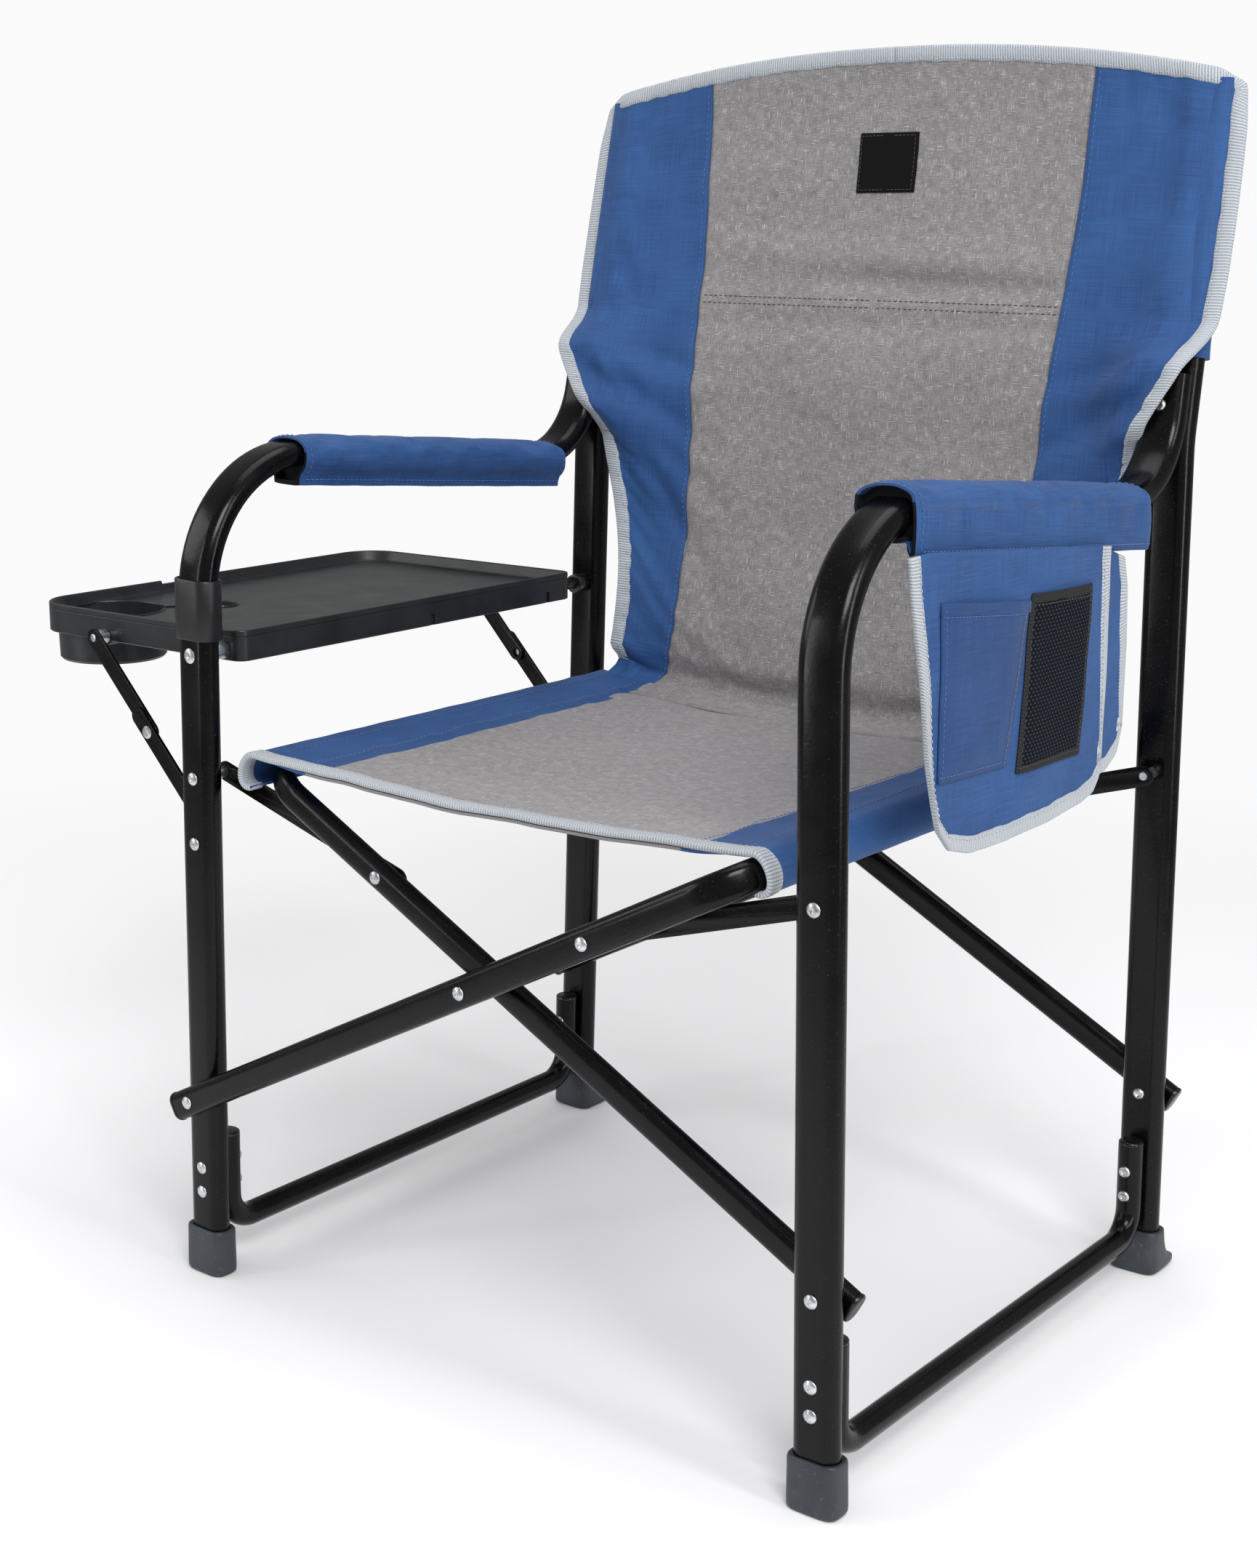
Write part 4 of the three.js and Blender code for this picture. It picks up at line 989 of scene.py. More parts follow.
link_strap("left", -1, "front", mirrored(STRAP_SPACED))
link_strap("left", -1, "rear", STRAP_CLOSE)
link_strap("right", 1, "front", mirrored(STRAP_CLOSE))
link_strap("right", 1, "rear", STRAP_SPACED)


# ----------------------------------------------------------------- the tray
def rounded_box(x0, x1, y0, y1, r_right, r_left, n):
    return (arc(x1 - r_right, y1 - r_right, r_right, 0, 90, n)
            + arc(x0 + r_left, y1 - r_left, r_left, 90, 180, n)
            + arc(x0 + r_left, y0 + r_left, r_left, 180, 270, n)
            + arc(x1 - r_right, y0 + r_right, r_right, 270, 360, n))


def tray_loop(inset):
    """The tray's outline, with large corners on the outer (left) side."""
    return rounded_box(TRAY_LEFT + inset, TRAY_RIGHT - inset, TRAY_FRONT + inset,
                       TRAY_REAR - inset, max(1.5, 10.0 - inset), max(2.0, 34.0 - inset), 10)


def box(x0, x1, y0, y1, z0, z1, material=None):
    verts = [(x, y, z) for x in (x0, x1) for y in (y0, y1) for z in (z0, z1)]
    faces = [(0, 1, 3, 2), (4, 6, 7, 5), (0, 4, 5, 1), (2, 3, 7, 6), (0, 2, 6, 4), (1, 5, 7, 3)]
    return turn_out(make("box", verts, faces, material, smooth=False))


def drum(x, y, r, z0, z1, n=56):
    loop = circle(x, y, r, n)
    return lofted("drum", [(z0, loop), (z1, loop)], None, smooth=False)


def boolean(obj, tool, operation="DIFFERENCE"):
    """Applies a boolean to obj and removes the tool."""
    bpy.context.view_layer.update()
    modifier = obj.modifiers.new("boolean", "BOOLEAN")
    modifier.operation = operation
    modifier.object = tool
    modifier.solver = "EXACT"
    depsgraph = bpy.context.evaluated_depsgraph_get()
    mesh = bpy.data.meshes.new_from_object(obj.evaluated_get(depsgraph))
    obj.modifiers.clear()
    old = obj.data
    mats = list(old.materials)
    obj.data = mesh
    mesh.materials.clear()
    for material in mats:
        mesh.materials.append(material)
    bpy.data.meshes.remove(old)
    discard(tool)


# skirt, rolled rim and dished floor, from inside the skirt round to the floor: z, inset
SHELL_LEVELS = [
    (TRAY_FLOOR_UNDER, TRAY_WALL + 0.2), (TRAY_UNDER + 0.4, TRAY_WALL - 0.2),
    (TRAY_UNDER, 1.9), (TRAY_UNDER, 0.7), (TRAY_UNDER + 0.7, 0.0),
    (TRAY_TOP - 5.4, 0.0), (TRAY_TOP - 4.8, 0.5), (TRAY_TOP - 4.2, 0.0),
    (TRAY_TOP - 1.1, 0.0), (TRAY_TOP - 0.3, 0.4), (TRAY_TOP, 1.2), (TRAY_TOP - 0.2, 2.2),
    (TRAY_TOP - 1.0, 3.0), (TRAY_FLOOR + 2.2, 5.4), (TRAY_FLOOR + 0.5, 6.6), (TRAY_FLOOR, 8.6)]
# outside of the cup well: z, radius
WELL_LEVELS = [(CUP_BOTTOM + 1.2, 37.0), (CUP_BOTTOM, 38.6), (CUP_BOTTOM, 40.4),
               (CUP_BOTTOM + 2, 42.2), (TRAY_FLOOR - 0.3, 43.0)]
# the two slots through the floor near the front: x0, x1, y0, y1
FLOOR_SLOTS = [(-398, -292, -189, -184), (-392, -292, -176, -171)]


def inside_tray(inset):
    return box(TRAY_LEFT + inset, TRAY_RIGHT, TRAY_FRONT + inset, TRAY_REAR, 400, 600)


def cut_stem_hole(shell):
    """A round hole joined to the cup well by a straight neck."""
    dx, dy = STEM_X - CUP_X, STEM_Y - CUP_Y
    length = math.hypot(dx, dy)
    sx, sy = -dy / length * 6.5, dx / length * 6.5  # half the neck's width, sideways
    neck = [(CUP_X + sx, CUP_Y + sy), (CUP_X - sx, CUP_Y - sy),
            (STEM_X - sx, STEM_Y - sy), (STEM_X + sx, STEM_Y + sy)]
    levels = [(TRAY_FLOOR_UNDER - 12, neck), (TRAY_FLOOR + 2, neck)]
    boolean(shell, lofted("neck", levels, TRAY))
    boolean(shell, drum(STEM_X, STEM_Y, STEM_R, TRAY_FLOOR_UNDER - 2, TRAY_FLOOR + 2, 40))


def tray_shell():
    shell = lofted("shell", [(z, tray_loop(inset)) for z, inset in SHELL_LEVELS], TRAY)
    well = lofted("well", [(z, circle(CUP_X, CUP_Y, r, 64)) for z, r in WELL_LEVELS], TRAY)
    boolean(well, inside_tray(0.25), "INTERSECT")
    boolean(shell, well, "UNION")
    bore = drum(CUP_X, CUP_Y, CUP_R, CUP_BOTTOM + 2.6, TRAY_FLOOR + 9)
    boolean(bore, inside_tray(4.4), "INTERSECT")
    boolean(shell, bore)
    boolean(shell, drum(CUP_X, CUP_Y, 27, CUP_BOTTOM - 2, CUP_BOTTOM + 5))
    cut_stem_hole(shell)
    for x0, x1, y0, y1 in FLOOR_SLOTS:
        r = (y1 - y0) / 2 - 0.01
        loop = rounded_box(x0, x1, y0, y1, r, r, 6)
        levels = [(TRAY_FLOOR_UNDER - 2, loop), (TRAY_FLOOR + 3, loop)]
        boolean(shell, lofted("slot", levels, TRAY))
    # notches in the right skirt and in the left rim
    for y in (6, 152):
        boolean(shell, box(TRAY_RIGHT - 1.6, TRAY_RIGHT + 1, y - 2.6, y + 2.6,
                           TRAY_UNDER - 1, TRAY_UNDER + 9))
    boolean(shell, box(TRAY_LEFT - 1, TRAY_LEFT + 4.0, -70, -52, TRAY_TOP - 3.0, TRAY_TOP + 1))
    bm = bmesh.new()
    bm.from_mesh(shell.data)
    bmesh.ops.remove_doubles(bm, verts=bm.verts, dist=2e-5)
    bmesh.ops.dissolve_degenerate(bm, edges=bm.edges, dist=1e-6)
    bmesh.ops.recalc_face_normals(bm, faces=bm.faces)
    bm.to_mesh(shell.data)
    bm.free()
    shell.data.polygons.foreach_set("use_smooth", [True] * len(shell.data.polygons))
    return shell


def raised_lip(x, y, r, toward, half_gap, steps):
    """A bead on the floor round a hole, open over a gap `toward` an angle in degrees."""
    half_open = math.degrees(math.asin(half_gap / r))
    loop = arc(x, y, r, toward + half_open, toward + 360 - half_open, steps)
    # kept off the tray's walls
    line = [Vector((max(px, TRAY_LEFT + 5.8), max(py, TRAY_FRONT + 5.8), TRAY_FLOOR + 0.2))
            for px, py in loop]
    rings = []
    for k, point in enumerate(line):
        heading = (line[min(k + 1, steps)] - line[max(k - 1, 0)]).normalized()
        sideways = Vector((-heading.y, heading.x, 0))
        rings.append([point + sideways * across + Vector((0, 0, 0.9 * rise))
                      for across, rise in circle(0, 0, 1.0, 8)])
    return ring_solid("lip", rings, TRAY)


def tray():
    parts = [tray_shell()]
    toward = math.degrees(math.atan2(STEM_Y - CUP_Y, STEM_X - CUP_X))
    parts.append(raised_lip(CUP_X, CUP_Y, CUP_R + 1.3, toward, half_gap=8.0, steps=72))
    parts.append(raised_lip(STEM_X, STEM_Y, STEM_R + 1.2, toward + 180, half_gap=7.6, steps=40))
    for y in (-110, -30, 50, 120):  # ribs under the floor
        parts.append(box(TRAY_LEFT + 3, TRAY_RIGHT - 3, y - 1, y + 1,
                         TRAY_UNDER + 3, TRAY_FLOOR_UNDER + 0.6, TRAY))
    hinge = Matrix.Translation((TRAY_HINGE[0], 0, TRAY_HINGE[1]))
    for y0, y1 in ((TRAY_FRONT + 0.2, TRAY_FRONT + 14), (TRAY_REAR - 14, TRAY_REAR - 0.2)):
        profile = [(4.5, y0), (7.4, y0), (8, y0 + 0.6), (8, y1 - 0.6), (7.4, y1), (4.5, y1),
                   (4.5, y0)]
        parts.append(lathe("hub", profile, TRAY, hinge, n=32))
    brace = Matrix.Translation((BRACE_TRAY[0], 0, BRACE_TRAY[1]))
    for y, inward in ((TRAY_FRONT + 3.0, 1), (TRAY_REAR - 3.0, -1)):
        outer, inner = y - inward * 2.6, y + inward * 6
        profile = [(3.4, outer), (7.0, outer), (7.6, y), (7.6, inner), (3.4, inner),
                   (3.4, outer)]
        parts.append(lathe("boss", profile, TRAY, brace, n=32))
    obj = sharp(join("tray_moulding", parts), 32)
    weighted = obj.modifiers.new("weighted", "WEIGHTED_NORMAL")
    weighted.keep_sharp = True
    weighted.weight = 100
    attach(obj, "table", "table_tray")


def tray_mounts():
    """Hinge pins, brace rivets and a moulded collar on the left side's legs."""
    matrix = side_matrix("left")
    to_side = matrix.inverted()
    hinge = to_side @ Vector((TRAY_HINGE[0], 0, TRAY_HINGE[1]))
    brace = to_side @ Vector((BRACE_LEG[0], 0, BRACE_LEG[1]))
    shared = dict(shaft=3.9, head=5.6, matrix=matrix, at=(hinge.x, 0, hinge.z))
    obj = pin("pin_table_hinge_front", -(LEG_OUTER + PLAY), TRAY_FRONT + 11, "head", "flat",
              [(-(LEG_INNER - PLAY), TRAY_FRONT - 0.3, 6.4)], **shared)
    attach(obj, "left_frame", "table_hinge_pin_front")
    obj = pin("pin_table_hinge_rear", TRAY_REAR - 11, LEG_OUTER + PLAY, "flat", "head",
              [(TRAY_REAR + 0.3, TRAY_REAR + 8, 6.4), (LEG_INNER - 13, LEG_INNER - PLAY, 8)],
              material=GLOSS, **shared)
    attach(obj, "left_frame", "table_hinge_pin_rear")
    span = (LEG_INNER - 3.4, LEG_OUTER + PLAY)
    for end, (y0, y1), low, high in (("front", mirrored(span), "head", "flat"),
                                     ("rear", span, "flat", "head")):
        rivet("rivet_brace_leg_" + end, "left_frame", "brace_pin_" + end, y0=y0, y1=y1,
              low=low, high=high, matrix=matrix, at=(brace.x, 0, brace.z))
    leg_collar(matrix)


# collar round the front left leg: z, growth over the leg's outline
COLLAR_LEVELS = [(502.0, 0.45), (502.0, 2.5), (502.8, 3.0), (545.0, 3.0), (545.9, 2.5),
                 (546.0, 0.45)]


def leg_collar(matrix):
    verts = []
    for z, grow in COLLAR_LEVELS:
        trim = 0.5 if grow > 1 else 0
        loop = oval(LEG_T + 2 * grow, LEG_W + 2 * grow - trim, 12)
        verts += [(p[1], FRONT + p[0], z) for p in loop]
    n, rings = len(loop), len(COLLAR_LEVELS)
    # the last band closes back on the first ring
    faces = [tuple(i % (n * rings) for i in face) for face in band_faces(rings + 1, n)]
    obj = make("sleeve_leg_collar", verts, faces, PLASTIC, matrix=matrix)
    attach(sharp(turn_out(obj), 40), "left_frame", "leg_collar_left")


def tray_braces():
    """Folding braces under the tray: two bars and two rivets at each end."""
    lower = (LEG_INNER - PLAY - BRACE_T, LEG_INNER - PLAY)
    upper = (lower[0] - PLAY - BRACE_T, lower[0] - PLAY)
    share = BRACE_LOWER_LENGTH / math.dist(BRACE_TRAY, BRACE_LEG)
    knee = tuple(leg + share * (tray - leg) for leg, tray in zip(BRACE_LEG, BRACE_TRAY))
    for end, sign in (("front", -1), ("rear", 1)):
        for part, start, extra, span in (("lower", BRACE_LEG, 15, lower),
                                         ("upper", BRACE_TRAY, 0, upper)):
            obj = plate("strap_brace_%s_%s" % (part, end), bar_loop(start, knee, BRACE_W, extra),
                        [circle(*start, 3.5), circle(*knee, 3.5)],
                        span if sign > 0 else mirrored(span), STEEL, bevel=0.5)
            attach(obj, "brace_" + part, "brace_%s_%s" % (part, end))
        tip = lower[0] - 0.15
        edge = TRAY_REAR if sign > 0 else -TRAY_FRONT
        tray_profile = [(0, edge - 4), (3, edge - 4), (3, edge + 0.2), (5.2, edge + 0.2),
                        (5.5, edge + 0.5), (5.5, upper[0] - 0.5), (5.2, upper[0] - 0.2),
                        (3, upper[0] - 0.2), (3, tip - 0.2), (2.6, tip), (0, tip)]
        start, face = lower[0] + 0.1, lower[1] + 0.2
        knee_profile = [(0, start), (3, start), (3, face), (4.9, face), (4.9, face + 0.5),
                        (3.4, face + 1.8), (0, face + 2.1)]
        for name, body, replaces, place, profile in (
                ("tray_", "table", "table_brace_pin_", BRACE_TRAY, tray_profile),
                ("knee_", "brace_lower", "brace_knee_pin_", knee, knee_profile)):
            if sign < 0:
                profile = [(r, -y) for r, y in profile][::-1]
            obj = lathe("rivet_brace_" + name + end, profile, ZINC,
                        Matrix.Translation((place[0], 0, place[1])), n=24)
            attach(obj, body, replaces + end)


tray()
tray_mounts()
tray_braces()


# ------------------------------------------------------------ cloth helpers
def spline(xs, ys):
    """Smooth cubic interpolation through points, slopes taken from their neighbours."""
    xs, ys = np.array(xs, float), np.array(ys, float)
    slopes = np.gradient(ys, xs)

    def value(x):
        x = min(max(x, xs[0]), xs[-1])
        k = min(int(np.searchsorted(xs, x, side="right") - 1), len(xs) - 2)
        h = xs[k + 1] - xs[k]
        t = (x - xs[k]) / h
        return float((1 + 2 * t) * (1 - t) ** 2 * ys[k] + t * (1 - t) ** 2 * h * slopes[k]
                     + t * t * (3 - 2 * t) * ys[k + 1] + t * t * (t - 1) * h * slopes[k + 1])
    return value


def stitches(points, normals, material, length=3.0, gap=1.6, r=0.36, lift=0.15):
    """A row of lockstitches along a path, each a small rounded thread."""
    points = [Vector(p) for p in points]
    normals = [Vector(n).normalized() for n in normals]
    spans = [(b - a).length for a, b in zip(points, points[1:])]
    starts = [0]
    for span in spans:
        starts.append(starts[-1] + span)
    total = sum(spans)

    def at(d):
        k = int(np.searchsorted(starts, d, side="right") - 1)
        k = min(max(k, 0), len(spans) - 1)
        f = (d - starts[k]) / max(spans[k], 1e-9)
        return points[k].lerp(points[k + 1], f), normals[k].lerp(normals[k + 1], f).normalized()

    verts, faces = [], []
    sides, stations = 6, 5
    d = gap
    while d + length < total:
        base = len(verts)
        for j in range(stations):
            t = j / (stations - 1)
            point, normal = at(d + length * t)
            ahead = at(min(total, d + length * t + 0.2))[0]
            across = normal.cross((ahead - point).normalized()).normalized()
            radius = r * (0.45 + 0.55 * math.sin(math.pi * (0.08 + 0.84 * t)))
            sink = 0.35 if j in (0, stations - 1) else 0
            centre = point + normal * (lift + 0.25 * math.sin(math.pi * t) - sink)
            for i in range(sides):
                a = 2 * math.pi * i / sides
                verts.append(centre + across * (radius * math.cos(a))
                             + normal * (radius * 0.8 * math.sin(a)))
        faces += band_faces(stations, sides, base) + cap_faces(stations, sides, base)
        d += length + gap
    return turn_out(make("stitches", verts, faces, material))


def binding(name, path, inward, normals, material, width, thick, step=4.0, seed=0.0):
    """Tape folded over a cloth edge, its fold just outside the edge."""
    raw = [(Vector(p), Vector(i).normalized(), Vector(n).normalized())
           for p, i, n in zip(path, inward, normals)]
    line = [raw[0]]
    for a, b in zip(raw, raw[1:]):
        pieces = max(1, int(round((b[0] - a[0]).length / step)))
        for j in range(1, pieces + 1):
            f = j / pieces
            line.append((a[0].lerp(b[0], f), a[1].lerp(b[1], f).normalized(),
                         a[2].lerp(b[2], f).normalized()))
    # section in (inward, normal): the fold, then the two faces
    h = thick / 2
    angles = [math.pi / 2 + math.pi * i / 6 for i in range(7)]
    section = [(0.6 + 1.8 * math.cos(a), h * math.sin(a)) for a in angles]
    section += [(width * 0.45, -h * 0.98), (width - 0.8, -h * 0.86), (width, -h * 0.5),
                (width, h * 0.5), (width - 0.8, h * 0.86), (width * 0.45, h * 0.98)]
    rings, uv = [], []
    d = 0.0
    for k, (point, inner, normal) in enumerate(line):
        if k:
            d += (point - line[k - 1][0]).length
        wave = 0.35 * math.sin(d / 7.0 + seed) + 0.25 * math.sin(d / 3.1 + 2 * seed)
        rings.append([point + inner * (a + (wave if a > width * 0.6 else 0.0)) + normal * b
                      for a, b in section])
        uv += [(d, a + (0 if b > 0 else 40)) for a, b in section]
    return ring_solid(name, rings, material, uv=uv)


def simulate(obj, pins, frames, stiff, shrink, cap, bending=2.0, pressure=0.0, gravity=0.0):
    """Runs Cloth with the vertices in `pins` (weights) held, limits the travel softly to
    `cap` mm and bakes the result."""
    rest = np.array([v.co for v in obj.data.vertices], float)
    group = obj.vertex_groups.new(name="pin")
    for i, weight in enumerate(pins):
        if weight > 0:
            group.add([i], float(weight), "REPLACE")
    cloth = obj.modifiers.new("cloth", "CLOTH")
    settings = cloth.settings
    settings.vertex_group_mass = "pin"
    settings.quality = 4
    settings.mass = 0.25
    settings.tension_stiffness = settings.compression_stiffness = stiff
    settings.shear_stiffness = 8.0
    settings.bending_stiffness = bending
    settings.tension_damping = settings.compression_damping = 10
    settings.air_damping = 3.0
    settings.shrink_min = shrink
    if pressure:
        settings.use_pressure = True
        settings.uniform_pressure_force = pressure
    settings.effector_weights.gravity = gravity
    cloth.collision_settings.use_collision = False
    cloth.point_cache.frame_start = 1
    cloth.point_cache.frame_end = frames
    scene = bpy.context.scene
    for number in range(1, frames + 1):
        scene.frame_set(number)
    settled = obj.evaluated_get(bpy.context.evaluated_depsgraph_get())
    travel = np.array([v.co for v in settled.data.vertices], float) - rest
    if not np.isfinite(travel).all():  # a run that blew up leaves the cloth at rest
        travel[:] = 0
    length = np.linalg.norm(travel, axis=1)
    limit = cap * MM
    scale = np.where(length > 1e-9, limit * np.tanh(length / limit) / np.maximum(length, 1e-9),
                     1.0)
    obj.modifiers.remove(cloth)
    obj.vertex_groups.remove(group)
    scene.frame_set(1)
    out = rest + travel * scale[:, None]
    obj.data.vertices.foreach_set("co", out.astype(np.float32).ravel())
    obj.data.update()


def grid_faces(nu, nv):
    w = nu + 1
    return [(j * w + i, j * w + i + 1, (j + 1) * w + i + 1, (j + 1) * w + i)
            for j in range(nv) for i in range(nu)]


def grid_normals(grid):
    normals = np.cross(np.gradient(grid, axis=1), np.gradient(grid, axis=0))
    return normals / np.maximum(np.linalg.norm(normals, axis=2, keepdims=True), 1e-12)


def sheet(name, grid, thick, material, uvs=None, normals=None):
    """Closed thin sheet from grid points (rows, columns, 3).
    Without uvs, u is x and v the length up the middle column."""
    nv, nu = grid.shape[0] - 1, grid.shape[1] - 1
    if normals is None:
        normals = grid_normals(grid)
    if uvs is None:
        steps = np.linalg.norm(np.diff(grid[:, nu // 2], axis=0), axis=1)
        up = np.concatenate([[0.0], np.cumsum(steps)])
        uvs = np.stack([grid[:, :, 0], np.broadcast_to(up[:, None], grid.shape[:2])], 2)
    n = (nu + 1) * (nv + 1)
    half = normals * (thick / 2)
    verts = np.concatenate([(grid + half).reshape(-1, 3), (grid - half).reshape(-1, 3)])
    uv = np.concatenate([uvs.reshape(-1, 2), uvs.reshape(-1, 2) + 500])
    front = grid_faces(nu, nv)
    back = [tuple(n + k for k in reversed(face)) for face in front]
    index = np.arange(n).reshape(nv + 1, nu + 1)
    loop = np.concatenate([index[0], index[1:, -1], index[-1, -2::-1], index[-2:0:-1, 0]])
    loop = loop.tolist()
    rim = [(b, a, n + a, n + b) for a, b in zip(loop, loop[1:] + loop[:1])]
    return sharp(make(name, verts, front + back + rim, material, uv=uv), 60)


# ---------------------------------------------------------------- the back
# stations up the chair: z, half width, y
BACK_STATIONS = [
    (421, 209, 158), (424.5, 210, 180), (448, 213, 193), (480, 213, 199.5),
    (515, 215, 204), (565, 226, 211.5), (600, 237, 215.5), (640, 250, 219.5),
    (670, 266, 222), (690, 277, 225), (717, 286, 230), (745, 288, 236.5),
    (780, 288, 244.5), (820, 287, 253.0), (860, 285, 261), (893, 281, 267.5)]
BACK_LOW_Z, BACK_HIGH_Z = BACK_STATIONS[0][0], BACK_STATIONS[-1][0]
BACK_COLUMNS, BACK_ROWS = 120, 128
station_z, station_half, station_y = zip(*BACK_STATIONS)
back_half_width = spline(station_z, station_half)
back_depth = spline(station_z, station_y)

# half width of the grey centre panel: z, x
GREY_STATIONS = [(400, 172), (421, 168), (440, 160), (470, 155), (510, 154), (600, 158),
                 (717, 163), (800, 167), (893, 171), (930, 173)]
# diagonal pulls at each side: z and x of the middle, slope, depth, width
PULLS = [(650, 205, 0.55, 3.4, 11), (612, 180, 0.8, 2.7, 13), (690, 215, 0.25, 2.4, 8),
         (560, 168, 1.4, 2.0, 14)]


def back_point(u, v):
    """The unsagged sheet: u -1..1 across, v 0..1 up."""
    z = BACK_LOW_Z + v * (BACK_HIGH_Z - BACK_LOW_Z)
    edge = abs(u)
    x = u * back_half_width(z)
    y = back_depth(z)
    # back round the uprights, and forward round the arm tube's upper end
    y += 9.5 * ease((abs(x) - 250) / 34) * ease((z - 690) / 26)
    y -= 23.0 * ease((abs(x) - 200) / 36) * ease((z - 618) / 40) * (1 - ease((z - 692) / 34))
    crown = 30.0 * (1 - edge ** 2.2) * ease((z - 760) / 133.0)
    corner = -7.0 * ease((edge - 0.93) / 0.07) * ease((z - 850) / 43.0)
    # the lowest rows dip in the middle and reach down to the seat
    dip = 9.0 * (1 - edge ** 2.1) * (1 - ease((z - 421) / 52))
    reach = 4.2 * (1 - ease((z - 421) / 12))
    return x, y, z + crown + corner - dip - reach


def creases(x, z):
    """Depth of the soft creases in the cloth, mm toward the rear."""
    # level folds above and below the cross seam
    depth = (3.6 * hill((z - 748 + 0.03 * x) / 8.5) * (0.55 + 0.45 * math.sin(x / 60 + 0.6))
             * ease((185 - abs(x)) / 60))
    depth -= 2.6 * hill((z - 766 + 0.05 * x) / 13) * ease((190 - abs(x)) / 70)
    depth += 2.2 * hill((z - 714) / 9) * ease((185 - abs(x)) / 60)
    for side in (-1, 1):
        for mid_z, mid_x, slope, amount, width in PULLS:
            across = side * x - mid_x
            t = z - (mid_z + slope * across)
            shape = hill(t / width) - 0.8 * hill((t + 1.9 * width) / (1.3 * width))
            depth += amount * hill(across / 62) * shape
    # long shallow folds rising from the seat, and shorter ones above them
    depth += (1.8 * math.sin((x + 0.25 * (z - 420)) / 33.0) * ease((600 - z) / 150)
              * ease((170 - abs(x)) / 60))
    depth += 1.3 * math.sin((x - 0.4 * (z - 600)) / 26.0) * hill((z - 655) / 38)
    # uneven cloth, broad and fine
    depth += 2.6 * rough_at(x / 85, z / 60, 3.7) + rough_at(x / 34, z / 30, 9.1)
    return depth * 1.25


def back_grid():
    """Grid of the back's middle surface after settling, creasing and bowing."""
    across = -1 + 2 * np.arange(BACK_COLUMNS + 1) / BACK_COLUMNS
    points = np.array([back_point(u, j / BACK_ROWS) for j in range(BACK_ROWS + 1)
                       for u in across])
    cloth = make("cloth_back", points, grid_faces(BACK_COLUMNS, BACK_ROWS), GREY)
    edge = np.abs(np.tile(across, BACK_ROWS + 1))
    pins = np.zeros(len(points))
    pins[edge > 0.97] = 1.0
    pins[(edge > 0.86) & (points[:, 2] > 695)] = 1.0
    pins[:BACK_COLUMNS + 1] = 1.0
    pins[-(BACK_COLUMNS + 1):] = 1.0
    simulate(cloth, pins, frames=12, stiff=12, shrink=-0.028, cap=7.0, bending=1.2,
             gravity=1.0)
    settled = local_points(cloth)
    discard(cloth)
    for i, (x, y, z) in enumerate(settled):
        edge = abs(across[i % (BACK_COLUMNS + 1)])
        hold = ease((1.0 - edge) / 0.10)
        if z > 690:
            hold *= ease((0.90 - edge) / 0.10)
        hold *= 0.15 + 0.85 * ease((z - 415) / 30.0)
        hold *= ease((1 - (i // (BACK_COLUMNS + 1)) / BACK_ROWS) / 0.05)
        bow = 0.0
        if abs(x) < 262:  # between the uprights the sheet bows to the rear
            bow = (8.1 * (1 - (x / 262.0) ** 2) * ease((z - 440) / 120.0)
                   * ease((900 - z) / 260 + 0.35))
        settled[i, 1] = y + creases(x, z) * hold + bow
    return settled.reshape(BACK_ROWS + 1, BACK_COLUMNS + 1, 3)


BACK = back_grid()
BACK_NORMALS = grid_normals(BACK)  # facing the front
BACK_MID = BACK_COLUMNS // 2


def back_row(z):
    """The row nearest a height on the middle line."""
    return int(np.argmin(abs(BACK[:, BACK_MID, 2] - z)))


def grey_half(z):
    return float(np.interp(z, *zip(*GREY_STATIONS)))


def strip(start, end, columns):
    """The back resampled between two borders, each giving x for a row."""
    rows = []
    for row in BACK:
        xs = np.linspace(*np.clip([start(row), end(row)], row[0, 0], row[-1, 0]), columns + 1)
        rows.append(np.stack([xs] + [np.interp(xs, row[:, 0], row[:, k]) for k in (1, 2)], 1))
    return np.array(rows)


def whole_back_normals(grid):
    """The whole back's normals at a strip's points, so that the halves meet without a step."""
    out = np.zeros_like(grid)
    for j, row in enumerate(grid):
        for k in range(3):
            out[j, :, k] = np.interp(row[:, 0], BACK[j, :, 0], BACK_NORMALS[j, :, k])
    return out / np.linalg.norm(out, axis=2, keepdims=True)


def attach_back(obj, side, replaces=None):
    """Each half of the back rides on its side's frame."""
    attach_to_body(obj, side + "_frame")
    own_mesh(obj)
    if replaces:
        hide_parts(replaces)


def match_middle_normals(obj):
    """Both halves shade alike where they meet."""
    mesh = obj.data
    normals = np.zeros(len(mesh.vertices) * 3)
    mesh.vertex_normals.foreach_get("vector", normals)
    normals = normals.reshape(-1, 3)
    for k, vertex in enumerate(mesh.vertices):
        point = vertex.co / MM - Vector(FEET_CENTRE)
        if abs(point.x) < 1.2:
            j = back_row(point.z)
            normal = BACK_NORMALS[j, BACK_MID]
            in_front = (Vector(BACK[j, BACK_MID]) - point).dot(Vector(normal)) < 0
            normals[k] = normal if in_front else -normal
    mesh.normals_split_custom_set_from_vertices([tuple(n) for n in normals])


